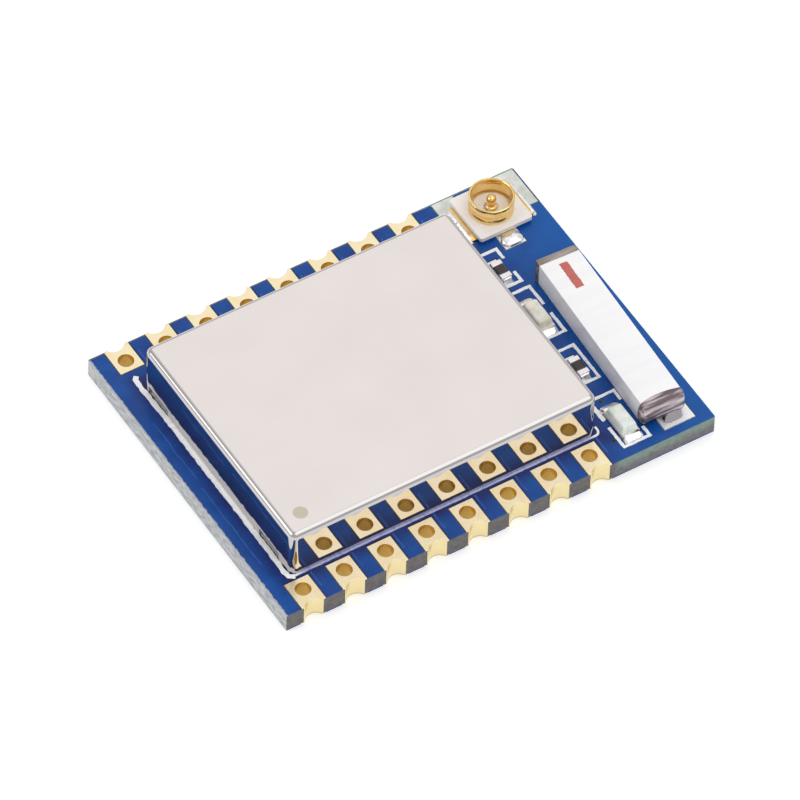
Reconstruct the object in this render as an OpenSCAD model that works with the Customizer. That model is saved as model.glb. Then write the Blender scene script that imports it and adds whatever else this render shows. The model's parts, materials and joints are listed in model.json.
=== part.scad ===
// Wireless network module: a small circuit board with sixteen castellated contacts,
// a drawn shield can over its circuit, a ceramic chip aerial, a miniature coaxial
// receptacle, two indicator lamps and their resistors.
// Origin: centre of the underside of the board. X runs along the contact rows toward
// the aerial, Y from the front row to the back row, Z up.

/* [Board] */
// Thickness of the board over the finish on both faces
board_t = 1; // [0.6:0.1:1.6]
// Thickness of the solder mask and of the lands on each face
finish_t = 0.05; // [0.03:0.01:0.08]
// Gap between a land and the edge of its window in the mask
mask_gap = 0.05; // [0.03:0.01:0.08]
// Bare strip between the back edge and the mask on the upper face
back_bare = 0.1; // [0.05:0.05:0.3]
// Diameter of the small via holes
via_d = 0.24; // [0.16:0.02:0.3]
// Length of board beyond the can, which carries the aerial
aerial_end_l = 4.85; // [4.85:0.05:7]

/* [Printed legend] */
// Width of the printed lines round the small parts
legend_w = 0.14; // [0.1:0.01:0.18]
// Thickness of the printed legend
legend_t = 0.03; // [0.02:0.01:0.04]
// How far the printing is out of register along X
legend_shift_x = 0.04; // [0:0.01:0.06]
// How far the printing is out of register along Y
legend_shift_y = 0.25; // [0:0.01:0.3]
// Width of the printed outline round the can
outline_w = 0.22; // [0.16:0.01:0.26]
// How far the printed outline stands out from the can's ends
outline_end = 0.28; // [0.24:0.01:0.32]
// How far the printed outline stands out from the can's long sides
outline_side = 0.42; // [0.36:0.01:0.44]

/* [Contacts] */
// Distance from one contact to the next
contact_pitch = 2; // [1.8:0.05:2.1]
// How far the middle of a contact row lies to the left of the can's middle
contact_row_shift = 0.38; // [0:0.02:0.5]
// Width of a contact land
contact_w = 1.15; // [1.1:0.05:1.3]
// Length of a contact land, in from the board's edge
contact_l = 1.43; // [1.35:0.01:1.45]
// Diameter of the plated hole in a contact
hole_d = 0.7; // [0.5:0.05:0.8]
// Distance from the board's edge to the middle of the plated hole
hole_inset = 0.87; // [0.8:0.01:0.95]
// Radius of the cutter that leaves the open notch in the edge
notch_r = 0.5; // [0.45:0.01:0.65]
// Depth of the open notch in the edge
notch_depth = 0.27; // [0.15:0.01:0.28]
// Thickness of the plating in the holes and notches
plating_t = 0.04; // [0.03:0.01:0.06]

/* [Shield can] */
// Length of the can
can_l = 14.9; // [14.4:0.1:17]
// Width of the can
can_w = 11.9; // [11.4:0.1:14]
// Height of the can above the board
can_h = 2.5; // [2.1:0.1:4]
// Thickness of the can's sheet metal
sheet_t = 0.2; // [0.1:0.01:0.3]
// Outer radius of the can's upright corners
can_corner_r = 0.4; // [0.4:0.05:1]
// Outer radius of the bend round the can's top
can_bend_r = 0.35; // [0.32:0.01:0.4]
// Distance from the left edge of the board to the can
can_left = 1.25; // [1.2:0.05:2]
// Distance from the front edge of the board to the can
can_front = 1.68; // [1.65:0.01:2.2]
// Distance from the back edge of the board to the can
can_back = 2.42; // [2.2:0.02:3]
// Length of each wash slot in the foot of the can's ends
slot_l = 1.55; // [1:0.05:2]
// Height of each wash slot
slot_h = 0.4; // [0.15:0.05:0.5]
// Distance from a wash slot's middle to the nearest side of the can
slot_inset = 1.5; // [1.5:0.05:3]
// How far each pair of wash slots lies toward the back of the can
slot_shift = 0.3; // [0:0.05:0.3]
// Distance from the can's outer face in to the land that it stands on
can_land_inset = 0.07; // [0.05:0.01:0.1]
// Width of the land that the can stands on
can_land_w = 0.5; // [0.4:0.02:0.6]
// Leg length of the solder fillets inside the can's foot
can_solder_leg = 0.2; // [0.1:0.02:0.25]

/* [Coaxial receptacle] */
// Side of the square moulded base
coax_base_w = 2.6; // [2.4:0.05:2.8]
// Height of the moulded base
coax_base_h = 0.35; // [0.3:0.05:0.5]
// How far the foot of the moulded base stands back under its flange
coax_foot_inset = 0.15; // [0.1:0.01:0.2]
// Height of the foot, up to the flange
coax_foot_h = 0.15; // [0.12:0.01:0.2]
// Outer radius of the contact ring, over which the plug snaps
ring_r = 1; // [0.95:0.01:1.1]
// Wall of the contact ring
ring_wall = 0.13; // [0.1:0.01:0.16]
// Height of the ring's rim above the board
ring_h = 1.2; // [1.1:0.05:1.6]
// Depth of the snap groove round the foot of the ring
groove_depth = 0.07; // [0.03:0.01:0.08]
// Radius of the round section of the snap groove
groove_r = 0.2; // [0.12:0.01:0.22]
// Gap between the moulded base and the snap groove
groove_lift = 0.06; // [0.04:0.01:0.1]
// Radius of the centre pin
pin_r = 0.19; // [0.14:0.01:0.22]
// Height of the centre pin above the board
pin_h = 1.15; // [0.9:0.05:1.15]
// Radius of the collar round the foot of the pin
collar_r = 0.25; // [0.24:0.01:0.34]
// Thickness of the ground and signal tabs
tab_t = 0.1; // [0.08:0.01:0.12]
// How far the tabs stand out from the base
tab_out = 0.28; // [0.2:0.02:0.36]
// Distance from the board's end to the middle of the receptacle
coax_end = 2.17; // [2.1:0.01:2.6]
// Distance from the board's back edge to the middle of the receptacle
coax_back = 1.75; // [1.7:0.05:2.2]

/* [Ceramic aerial] */
// Length of the aerial over its end caps
aerial_l = 9.35; // [8:0.05:10.2]
// Width of the aerial
aerial_w = 1.95; // [1.6:0.05:2]
// Height of the aerial
aerial_h = 1.2; // [0.8:0.05:1.6]
// Length of the metallised back end
back_cap_l = 0.35; // [0.25:0.05:0.6]
// Thickness of the metal on the aerial's back end
cap_t = 0.03; // [0.02:0.01:0.05]
// How far the metal of the front end stands out from the ceramic's front face
front_cap_out = 0.45; // [0.4:0.01:0.5]
// How far the front metal's round ends stand out from the ceramic's sides
front_cap_side = 0.06; // [0.02:0.01:0.1]
// Width of the land under the aerial's front end
aerial_pad_w = 1.5; // [1.2:0.05:1.6]
// How far that land reaches in front of the aerial
aerial_pad_front = 0.4; // [0.2:0.05:0.5]
// How far the aerial sits to the left of that land's middle
aerial_pad_shift = 0.5; // [0.2:0.05:0.6]
// How far the aerial is soldered out of square, in degrees
aerial_turn = 2.6; // [0:0.2:3]
// Distance from the board's end to the middle of the aerial
aerial_end = 1.75; // [1.6:0.05:1.8]
// Distance from the board's front edge to the aerial
aerial_front = 0.83; // [0.75:0.01:0.95]
// Length of the coloured mark on the aerial
mark_l = 1.5; // [0.6:0.1:2]
// Width of the coloured mark
mark_w = 0.38; // [0.2:0.02:0.6]

/* [Lamps and resistors] */
// Distance from the can to the middle of the row of small parts
row_gap = 1.26; // [1.2:0.02:1.3]
// Distance from the board's front edge to the first legend frame
row_front = 0.43; // [0.3:0.01:0.6]
// Length of a lamp's legend frame
lamp_frame_l = 2.97; // [2.9:0.01:3.1]
// Width of a lamp's legend frame
lamp_frame_w = 1.4; // [1.3:0.02:1.44]
// Length of a resistor's legend frame
resistor_frame_l = 2.17; // [2.1:0.01:2.3]
// Width of a resistor's legend frame
resistor_frame_w = 1.16; // [1.1:0.02:1.3]
// Length of a lamp
lamp_l = 1.6; // [1.4:0.05:1.65]
// Width of a lamp
lamp_w = 0.8; // [0.7:0.02:0.84]
// Height of a lamp
lamp_h = 0.55; // [0.45:0.05:0.8]
// Thickness of a lamp's carrier, under its lens
lamp_base_t = 0.2; // [0.15:0.01:0.25]
// Length of a resistor
resistor_l = 1; // [0.9:0.02:1.05]
// Width of a resistor
resistor_w = 0.5; // [0.4:0.02:0.6]
// Height of a resistor
resistor_h = 0.35; // [0.3:0.01:0.4]

/* [Circuit under the can] */
// Side of the square system chip
chip_w = 5; // [4:0.1:5.4]
// Height of the system chip
chip_h = 0.85; // [0.6:0.05:1]
// Length of the memory chip's body, along Y
flash_l = 4.9; // [4.6:0.05:5.3]
// Width of the memory chip's body, along X
flash_w = 3.9; // [3.5:0.05:4.1]
// Height of the memory chip's body above the board
flash_h = 1.55; // [1.2:0.05:1.7]
// Span over the memory chip's leads
flash_span = 6; // [5.8:0.05:6.1]
// Length of the crystal
crystal_l = 3.2; // [2.5:0.05:3.3]
// Width of the crystal
crystal_w = 2.5; // [2:0.05:2.6]
// Height of the crystal
crystal_h = 0.75; // [0.6:0.05:1]
// Length of a small capacitor
capacitor_l = 1; // [0.8:0.02:1.1]
// Width of a small capacitor
capacitor_w = 0.5; // [0.4:0.02:0.6]

/* [Hidden] */
CONTACTS_PER_SIDE = 8;
CONTACT_COUNT = 2 * CONTACTS_PER_SIDE;
CHIP_LANDS_PER_SIDE = 8;
FLASH_LEADS_PER_SIDE = 4;
$fn = 48;
over = 0.5; // how far a cutter runs past the face it cuts

board_l = can_left + can_l + aerial_end_l;
board_w = can_front + can_w + can_back;
top = board_t; // height of the upper face
land_z = board_t - finish_t; // underside of the upper finish

can_x0 = can_left - board_l / 2;
can_x1 = can_x0 + can_l;
can_y0 = can_front - board_w / 2;
can_y1 = can_y0 + can_w;
can_x = (can_x0 + can_x1) / 2;
can_y = (can_y0 + can_y1) / 2;

contact_row_l = (CONTACTS_PER_SIDE - 1) * contact_pitch;
notch_out = notch_r - notch_depth; // from the board's edge out to the cutter's middle

coax_x = board_l / 2 - coax_end;
coax_y = board_w / 2 - coax_back;
groove_z = coax_base_h + groove_lift + groove_r; // height of the snap groove's middle
tab_w = 1.5; // width of each ground tab
leg_w = 1; // width of the legs that join the ring to its tabs
signal_w = 0.6; // width of the signal tab

aerial_x = board_l / 2 - aerial_end;
aerial_y = aerial_front - board_w / 2 + aerial_l / 2;
front_cap_r = aerial_h / 2; // section radius of the round bar at the front end
front_cap_round = 0.2; // rounding of that bar's two ends
mark_back = 0.3; // bare ceramic between the back cap and the mark
mark_left = 0.78; // from the aerial's left side to the mark

row_x = can_x1 + row_gap;
row_start = row_front - board_w / 2 - legend_shift_y;
row_room = coax_y - coax_base_w / 2 - row_start - 2 * lamp_frame_l - 2 * resistor_frame_l;
row_shares = [0.32, 0.28, 0.12]; // of that room, between one frame and the next, from the front
lamp_2_y = row_start + lamp_frame_l / 2;
resistor_2_y = lamp_2_y + (lamp_frame_l + resistor_frame_l) / 2 + row_shares[0] * row_room;
lamp_1_y = resistor_2_y + (lamp_frame_l + resistor_frame_l) / 2 + row_shares[1] * row_room;
resistor_1_y = lamp_1_y + (lamp_frame_l + resistor_frame_l) / 2 + row_shares[2] * row_room;
lamp_ys = [lamp_1_y, lamp_2_y];
resistor_ys = [resistor_1_y, resistor_2_y];
end_t = 0.02; // thickness of a resistor's end metal
end_l = 0.24; // length of a resistor's end metal
land_out = 0.3; // how far a land shows beyond the part's end
land_under = 0.25; // how far a land runs under the part

// The parts under the can share the room that is left between its walls.
inner_x0 = can_x0 + sheet_t;
inner_x1 = can_x1 - sheet_t;
inner_y0 = can_y0 + sheet_t;
inner_y1 = can_y1 - sheet_t;
inner_room_x = inner_x1 - inner_x0 - flash_span - chip_w;
inner_room_y = inner_y1 - inner_y0 - capacitor_l - chip_w - crystal_w;
flash_x = inner_x0 + 0.1 * inner_room_x + flash_span / 2;
flash_y = can_y;
chip_x = inner_x1 - 0.5 * inner_room_x - chip_w / 2;
chip_y = inner_y0 + 0.45 * inner_room_y + capacitor_l + chip_w / 2;
chip_stand = 0.05; // height of the chip's soldered lands
crystal_x = chip_x + 0.2;
crystal_y = inner_y1 - 0.15 * inner_room_y - crystal_w / 2;

// ---- helpers ----

// A box centred in X and Y that stands on its own base plane.
module block(size) {
  translate([-size[0] / 2, -size[1] / 2, 0]) cube(size);
}

// A box from its two opposite plan corners, between two heights.
module slab(x0, x1, y0, y1, z0, z1) {
  translate([x0, y0, z0]) cube([x1 - x0, y1 - y0, z1 - z0]);
}

// A rectangle with round corners, built from squares and true circles.
module round_rectangle(x0, x1, y0, y1, r) {
  translate([x0 + r, y0]) square([x1 - x0 - 2 * r, y1 - y0]);
  translate([x0, y0 + r]) square([x1 - x0, y1 - y0 - 2 * r]);
  for (x = [x0 + r, x1 - r], y = [y0 + r, y1 - r]) translate([x, y]) circle(r);
}

// Contacts 1 to 8 run along the front edge, 9 to 16 back along the rear edge.
function contact_side(i) = i <= CONTACTS_PER_SIDE ? -1 : 1;
function contact_column(i) = i <= CONTACTS_PER_SIDE ? i - 1 : CONTACT_COUNT - i;
function contact_x(i) = can_x - contact_row_shift - contact_row_l / 2 + contact_column(i) * contact_pitch;

// Puts its children at a contact, with +Y pointing from the board's edge to its middle.
module at_contact(i) {
  side = contact_side(i);
  translate([contact_x(i), side * board_w / 2, 0]) rotate([0, 0, side < 0 ? 0 : 180]) children();
}

// ---- board ----

// What the plated holes and notches take out of the laminate.
module contact_bores() {
  for (i = [1:CONTACT_COUNT]) at_contact(i) {
    translate([0, hole_inset, -over]) cylinder(h = board_t + 2 * over, r = hole_d / 2 + plating_t);
    translate([0, -notch_out, -over]) cylinder(h = board_t + 2 * over, r = notch_r + plating_t);
  }
}

via_places = [
  [row_x - 0.08, lamp_2_y + lamp_frame_l / 2],
  [row_x - lamp_frame_w / 2 - 0.04, lamp_2_y - lamp_frame_l / 2 + 0.9]
];

module via_bores() {
  for (p = via_places) translate([p[0], p[1], -over]) cylinder(h = board_t + 2 * over, r = via_d / 2);
}

module circuit_board() {
  color([0.55, 0.58, 0.5]) difference() {
    slab(-board_l / 2, board_l / 2, -board_w / 2, board_w / 2, finish_t, land_z);
    contact_bores();
    via_bores();
  }
}

// Windows that the mask leaves open round the contacts.
module contact_windows(z) {
  for (i = [1:CONTACT_COUNT]) at_contact(i)
    slab(-contact_w / 2 - mask_gap, contact_w / 2 + mask_gap, -over, contact_l + mask_gap,
      z - over, z + finish_t + over);
}

module solder_mask_top() {
  color([0.1, 0.27, 0.55]) difference() {
    slab(-board_l / 2, board_l / 2, -board_w / 2, board_w / 2 - back_bare, land_z, top);
    contact_windows(land_z);
    via_bores();
    can_land_form(mask_gap, over);
    land_plates(mask_gap, over);
  }
}

module solder_mask_bottom() {
  color([0.1, 0.27, 0.55]) difference() {
    slab(-board_l / 2, board_l / 2, -board_w / 2, board_w / 2, 0, finish_t);
    contact_windows(0);
    via_bores();
  }
}

// One castellated contact: upper and lower land, plated hole and plated notch, in one skin of metal.
module castellation(i) {
  color([0.95, 0.85, 0.6]) at_contact(i) difference() {
    union() {
      for (z = [0, land_z]) slab(-contact_w / 2, contact_w / 2, 0, contact_l, z, z + finish_t);
      translate([0, hole_inset, 0]) cylinder(h = board_t, r = hole_d / 2 + plating_t);
      intersection() {
        translate([0, -notch_out, 0]) cylinder(h = board_t, r = notch_r + plating_t);
        slab(-contact_w / 2, contact_w / 2, 0, contact_l, 0, board_t);
      }
    }
    translate([0, hole_inset, -over]) cylinder(h = board_t + 2 * over, r = hole_d / 2);
    translate([0, -notch_out, -over]) cylinder(h = board_t + 2 * over, r = notch_r);
  }
}

// ---- lands ----

// The ring of tinned copper that the can's walls stand on.
module can_land_form(grow, raise) {
  outside = can_land_inset - grow;
  inside = can_land_inset + can_land_w + grow;
  translate([0, 0, land_z - raise]) linear_extrude(finish_t + 2 * raise) difference() {
    round_rectangle(can_x0 + outside, can_x1 - outside, can_y0 + outside, can_y1 - outside,
      can_corner_r - outside);
    translate([can_x0 + inside, can_y0 + inside]) square([can_l - 2 * inside, can_w - 2 * inside]);
  }
}

module can_land() {
  color([0.85, 0.85, 0.86]) can_land_form(0, 0);
}

// A pair of lands under the two ends of a small part that lies along Y.
module end_lands(part_l, part_w, grow) {
  for (s = [-1, 1]) translate([0, s * (part_l / 2 + (land_out - land_under) / 2)])
    square([part_w + 2 * grow, land_out + land_under + 2 * grow], center = true);
}

aerial_land_l = 0.85;
aerial_pad_x = aerial_x - sin(aerial_turn) * aerial_l / 2 + aerial_pad_shift; // middle of the front land
aerial_pad_y0 = aerial_y - aerial_l / 2 - aerial_pad_front;
coax_side = coax_base_w / 2;

// Every land of the parts outside the can, or with grow set, its window in the mask.
module land_plates(grow, raise) {
  translate([0, 0, land_z - raise]) linear_extrude(finish_t + 2 * raise) {
    for (y = lamp_ys) translate([row_x, y]) end_lands(lamp_l, lamp_w, grow);
    for (y = resistor_ys) translate([row_x, y]) end_lands(resistor_l, resistor_w, grow);
    translate([aerial_x, aerial_y]) rotate([0, 0, -aerial_turn])
      translate([0, aerial_l / 2 - aerial_land_l / 2])
        square([aerial_w - 0.1 + 2 * grow, aerial_land_l + 2 * grow], center = true);
    translate([aerial_pad_x, aerial_pad_y0 + aerial_land_l / 2])
      square([aerial_pad_w + 2 * grow, aerial_land_l + 2 * grow], center = true);
    translate([coax_x, coax_y]) {
      translate([-0.5 - grow, -coax_side - 0.75 - grow]) square([1 + 2 * grow, 0.95 + 2 * grow]);
      translate([-coax_side - 0.65 - grow, -0.65 - grow]) square([1.05 + 2 * grow, 2.3 + 2 * grow]);
      translate([-grow, -0.43 - grow]) square([coax_side + 0.8 + 2 * grow, 2.08 + 2 * grow]);
    }
  }
}

module part_lands() {
  color([0.85, 0.85, 0.86]) land_plates(0, 0);
}

// ---- printed legend ----

// A frame of printed lines round a part, with a gap halfway down each side.
module legend_frame(l, w, left_gap, right_gap) {
  for (s = [-1, 1]) translate([0, s * (l - legend_w) / 2]) square([w, legend_w], center = true);
  for (side = [[-1, left_gap], [1, right_gap]], s = [-1, 1]) {
    arm = (l - side[1]) / 2;
    translate([side[0] * (w - legend_w) / 2, s * (l - arm) / 2]) square([legend_w, arm], center = true);
  }
}

// The line printed round the can's place, cut away where the can's own wall stands on it.
module can_outline() {
  clear = 0.02;
  x0 = can_x0 - outline_end + legend_shift_x;
  x1 = can_x1 + outline_end + legend_shift_x;
  y0 = can_y0 - outline_side + legend_shift_y;
  y1 = can_y1 + outline_side + legend_shift_y;
  difference() {
    round_rectangle(x0, x1, y0, y1, can_corner_r + clear);
    round_rectangle(x0 + outline_w, x1 - outline_w, y0 + outline_w, y1 - outline_w,
      can_corner_r + clear - outline_w);
    round_rectangle(can_x0 - clear, can_x1 + clear, can_y0 - clear, can_y1 + clear, can_corner_r + clear);
  }
}

module legend() {
  color("white") difference() {
    translate([0, 0, top]) linear_extrude(legend_t) {
      can_outline();
      translate([row_x + legend_shift_x, legend_shift_y]) {
        translate([0, lamp_1_y]) legend_frame(lamp_frame_l, lamp_frame_w, 0.55, 0.55);
        translate([0, lamp_2_y]) legend_frame(lamp_frame_l, lamp_frame_w, 0.4, 1.7);
        translate([0, resistor_1_y]) legend_frame(resistor_frame_l, resistor_frame_w, 0.84, 0.84);
        translate([0, resistor_2_y]) legend_frame(resistor_frame_l, resistor_frame_w, 0, 0);
      }
    }
    via_bores();
  }
}

// ---- shield can ----

// Upright section of the can's rounded rim, from the corner's axis out to its wall.
module rim_section(corner_r, bend_r, h) {
  square([corner_r, h - bend_r]);
  square([corner_r - bend_r, h]);
  intersection() {
    translate([corner_r - bend_r, h - bend_r]) circle(bend_r);
    translate([corner_r - bend_r, h - bend_r]) square(bend_r);
  }
}

// A block with round upright corners and a round bend between its walls and its top.
module drawn_block(l, w, h, corner_r, bend_r) {
  cx = l / 2 - corner_r;
  cy = w / 2 - corner_r;
  for (q = [[1, 1, 0], [-1, 1, 90], [-1, -1, 180], [1, -1, 270]])
    translate([q[0] * cx, q[1] * cy, 0]) rotate([0, 0, q[2]])
      rotate_extrude(angle = 90) rim_section(corner_r, bend_r, h);
  for (a = [0, 180]) rotate([0, 0, a]) {
    translate([cx, cy, 0]) rotate([90, 0, 0]) linear_extrude(2 * cy) rim_section(corner_r, bend_r, h);
    translate([-cx, cy, 0]) rotate([90, 0, 90]) linear_extrude(2 * cx) rim_section(corner_r, bend_r, h);
  }
  block([2 * cx, 2 * cy, h]);
}

module shield_can() {
  inner_h = can_h - sheet_t;
  color([0.88, 0.86, 0.84]) translate([can_x, can_y, top]) difference() {
    drawn_block(can_l, can_w, can_h, can_corner_r, can_bend_r);
    drawn_block(can_l - 2 * sheet_t, can_w - 2 * sheet_t, inner_h, can_corner_r - sheet_t,
      can_bend_r - sheet_t);
    for (s = [-1, 1]) translate([0, slot_shift + s * (can_w / 2 - slot_inset), -over])
      block([can_l + 2 * over, slot_l, slot_h + over]);
  }
}

// A concave fillet's section, with its right angle at the origin.
module fillet_section(leg) {
  difference() {
    square(leg);
    translate([leg, leg]) circle(leg);
  }
}

// Solder that has risen inside the foot of the can's two long walls.
module can_solder() {
  run = can_l - 2 * can_corner_r;
  color([0.9, 0.9, 0.92]) translate([can_x, can_y, top]) for (a = [0, 180]) rotate([0, 0, a])
    translate([-run / 2, sheet_t - can_w / 2, 0]) rotate([90, 0, 90])
      linear_extrude(run) fillet_section(can_solder_leg);
}

// ---- circuit under the can ----

module system_chip() {
  color([0.16, 0.16, 0.17]) translate([chip_x, chip_y, top + chip_stand])
    block([chip_w, chip_w, chip_h]);
}

module system_chip_lands() {
  land_l = 0.4;
  land_w = 0.25;
  pitch = 0.5;
  color([0.9, 0.8, 0.55]) translate([chip_x, chip_y, top]) {
    block([chip_w * 0.62, chip_w * 0.62, chip_stand]);
    for (a = [0:90:270]) rotate([0, 0, a]) for (k = [0:CHIP_LANDS_PER_SIDE - 1])
      translate([chip_w / 2 - land_l / 2, (k - (CHIP_LANDS_PER_SIDE - 1) / 2) * pitch, 0])
        block([land_l, land_w, chip_stand]);
  }
}

flash_stand = 0.1; // gap under the memory chip's body
lead_t = 0.2; // thickness of a memory chip lead
lead_w = 0.41; // width of a memory chip lead
lead_pitch = 1.27; // from one memory chip lead to the next
lead_z = 0.7; // height at which a lead leaves the body

module flash_chip() {
  color([0.14, 0.14, 0.15]) translate([flash_x, flash_y, top + flash_stand])
    block([flash_w, flash_l, flash_h - flash_stand]);
}

// A gull-wing lead from the body's side, down and out to a flat foot.
module gull_wing_section() {
  reach = (flash_span - flash_w) / 2;
  shoulder = reach * 0.3;
  foot = reach * 0.45;
  polygon([
    [0, lead_z], [shoulder, lead_z], [reach - foot - lead_t, lead_t], [reach - foot, 0], [reach, 0],
    [reach, lead_t], [reach - foot + lead_t * 0.4, lead_t], [shoulder + lead_t, lead_z + lead_t],
    [0, lead_z + lead_t]
  ]);
}

module flash_leads() {
  color([0.8, 0.8, 0.82]) translate([flash_x, flash_y, top])
    for (a = [0, 180], k = [0:FLASH_LEADS_PER_SIDE - 1]) rotate([0, 0, a])
      translate([flash_w / 2, (k - (FLASH_LEADS_PER_SIDE - 1) / 2) * lead_pitch + lead_w / 2, 0])
        rotate([90, 0, 0]) linear_extrude(lead_w) gull_wing_section();
}

lid_t = 0.25; // height of the crystal's welded lid
lid_inset = 0.2; // how far the lid stands inside the crystal's base

module crystal_base() {
  color([0.75, 0.7, 0.6]) translate([crystal_x, crystal_y, top])
    block([crystal_l, crystal_w, crystal_h - lid_t]);
}

module crystal_lid() {
  color([0.82, 0.82, 0.8]) translate([crystal_x, crystal_y, top + crystal_h - lid_t])
    block([crystal_l - 2 * lid_inset, crystal_w - 2 * lid_inset, lid_t]);
}

capacitor_h = 0.5;
capacitor_step = 1.15; // from one capacitor to the next
capacitor_end = 0.2; // length of a capacitor's end metal
capacitor_row = concat(
  [for (k = [0:3]) [chip_x + (k - 1.5) * capacitor_step, inner_y0 + 0.3 * inner_room_y + capacitor_l / 2]],
  [for (k = [1:3]) [crystal_x - crystal_l / 2 - (k - 0.2) * capacitor_step, crystal_y]]
);

module capacitor_bodies() {
  color([0.72, 0.6, 0.45]) for (p = capacitor_row) translate([p[0], p[1], top])
    block([capacitor_w, capacitor_l - 2 * capacitor_end, capacitor_h]);
}

module capacitor_ends() {
  color([0.85, 0.85, 0.86]) for (p = capacitor_row, s = [-1, 1])
    translate([p[0], p[1] + s * (capacitor_l - capacitor_end) / 2, top])
      block([capacitor_w, capacitor_end, capacitor_h]);
}

// ---- coaxial receptacle ----

// Section of the contact ring: a round rim and the snap groove that the plug clicks into.
module ring_section() {
  rim = ring_wall / 2;
  difference() {
    translate([ring_r - ring_wall, coax_base_h]) square([ring_wall, ring_h - coax_base_h - rim]);
    translate([ring_r + groove_r - groove_depth, groove_z]) circle(groove_r);
  }
  translate([ring_r - rim, ring_h - rim]) circle(rim);
}

// The ring, the two flat legs under it and its ground tabs, formed from one strip.
module coax_shell_form() {
  inside = ring_r - ring_wall;
  rotate_extrude() ring_section();
  for (a = [0, 180]) rotate([0, 0, a]) {
    slab(inside, ring_r, -leg_w / 2, leg_w / 2, 0, coax_base_h);
    slab(inside, coax_side + tab_out, -tab_w / 2, tab_w / 2, 0, tab_t);
  }
}

module coax_shell() {
  color([0.9, 0.72, 0.38]) translate([coax_x, coax_y, top]) coax_shell_form();
}

// Round-ended centre pin with its collar and the tab that carries the signal out to the front.
module coax_pin_form() {
  collar_rise = 0.25;
  cylinder(h = coax_base_h + collar_rise, r = collar_r);
  cylinder(h = pin_h - pin_r, r = pin_r);
  translate([0, 0, pin_h - pin_r]) sphere(r = pin_r);
  slab(-signal_w / 2, signal_w / 2, -coax_side - tab_out, 0, 0, tab_t);
}

module coax_pin() {
  color([0.9, 0.72, 0.38]) translate([coax_x, coax_y, top]) coax_pin_form();
}

// A square flange on a slightly smaller foot, with room in both for the metal parts.
module coax_base() {
  corner = 0.12;
  foot_side = coax_side - coax_foot_inset;
  color([0.93, 0.91, 0.9]) translate([coax_x, coax_y, top]) difference() {
    union() {
      translate([0, 0, coax_foot_h]) linear_extrude(coax_base_h - coax_foot_h)
        round_rectangle(-coax_side, coax_side, -coax_side, coax_side, corner);
      linear_extrude(coax_foot_h)
        round_rectangle(-foot_side, foot_side, -foot_side, foot_side, corner);
    }
    coax_shell_form();
    coax_pin_form();
  }
}

// ---- ceramic aerial ----

module at_aerial() {
  translate([aerial_x, aerial_y, top]) rotate([0, 0, -aerial_turn]) children();
}

ceramic_l = aerial_l - front_cap_out - cap_t;
ceramic_y0 = -aerial_l / 2 + front_cap_out; // where the ceramic meets the front cap
ceramic_y1 = ceramic_y0 + ceramic_l;
ceramic_w = aerial_w - 2 * cap_t;

module aerial_body() {
  color([0.97, 0.96, 0.97]) at_aerial() difference() {
    slab(-aerial_w / 2, aerial_w / 2, ceramic_y0, ceramic_y1, 0, aerial_h);
    difference() {
      slab(-aerial_w, aerial_w, ceramic_y1 + cap_t - back_cap_l, ceramic_y1 + over, -over, aerial_h + over);
      slab(-ceramic_w / 2, ceramic_w / 2, 0, ceramic_y1, cap_t, aerial_h - cap_t);
    }
  }
}

// Fired metal that wraps the back end of the ceramic on five sides.
module aerial_back_cap() {
  color([0.64, 0.6, 0.56]) at_aerial() difference() {
    slab(-aerial_w / 2, aerial_w / 2, aerial_l / 2 - back_cap_l, aerial_l / 2, 0, aerial_h);
    slab(-ceramic_w / 2, ceramic_w / 2, 0, ceramic_y1, cap_t, aerial_h - cap_t);
  }
}

// Half of the upright section of a bar with round ends, which turns about the bar's own axis.
module bar_section(half_l, r, end_r) {
  square([r - end_r, half_l]);
  square([r, half_l - end_r]);
  translate([r - end_r, half_l - end_r]) intersection() {
    circle(end_r);
    square(end_r);
  }
}

// A bar along X with round ends, whose front stands out from the ceramic by front_cap_out.
module front_bar() {
  half_l = aerial_w / 2 + front_cap_side;
  translate([0, -aerial_l / 2 + front_cap_r, front_cap_r]) for (a = [-90, 90]) rotate([0, a, 0])
    rotate_extrude() bar_section(half_l, front_cap_r, front_cap_round);
}

// The fired metal end that is soldered to the board's front land.
module aerial_front_cap() {
  color([0.52, 0.47, 0.47]) at_aerial() intersection() {
    front_bar();
    slab(-aerial_w, aerial_w, -aerial_l, ceramic_y0, 0, aerial_h);
  }
}

module aerial_mark() {
  x0 = mark_left - aerial_w / 2;
  y1 = aerial_l / 2 - back_cap_l - mark_back;
  color([0.78, 0.42, 0.38]) at_aerial() slab(x0, x0 + mark_w, y1 - mark_l, y1, aerial_h, aerial_h + legend_t);
}

// ---- lamps and resistors ----

coat_t = 0.03; // thickness of a resistor's black coat
core_h = resistor_h - end_t - coat_t;

module resistor_body(y) {
  color([0.92, 0.9, 0.86]) translate([row_x, y, top + end_t])
    block([resistor_w, resistor_l - 2 * end_t, core_h]);
}

module resistor_coat(y) {
  color([0.12, 0.11, 0.11]) translate([row_x, y, top + end_t + core_h])
    block([resistor_w, resistor_l - 2 * end_l, coat_t]);
}

// Two metal ends, each folded over the top, the end and the underside of the body.
module resistor_ends(y) {
  color([0.86, 0.86, 0.87]) translate([row_x, y, top]) for (s = [0, 180]) rotate([0, 0, s])
    difference() {
      translate([0, resistor_l / 2 - end_l / 2, 0]) block([resistor_w, end_l, core_h + 2 * end_t]);
      translate([0, 0, end_t]) block([resistor_w + over, resistor_l - 2 * end_t, core_h]);
    }
}

lens_l = lamp_l - 0.2;
lens_draft = 0.06; // how far each end of the lens leans in

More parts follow.
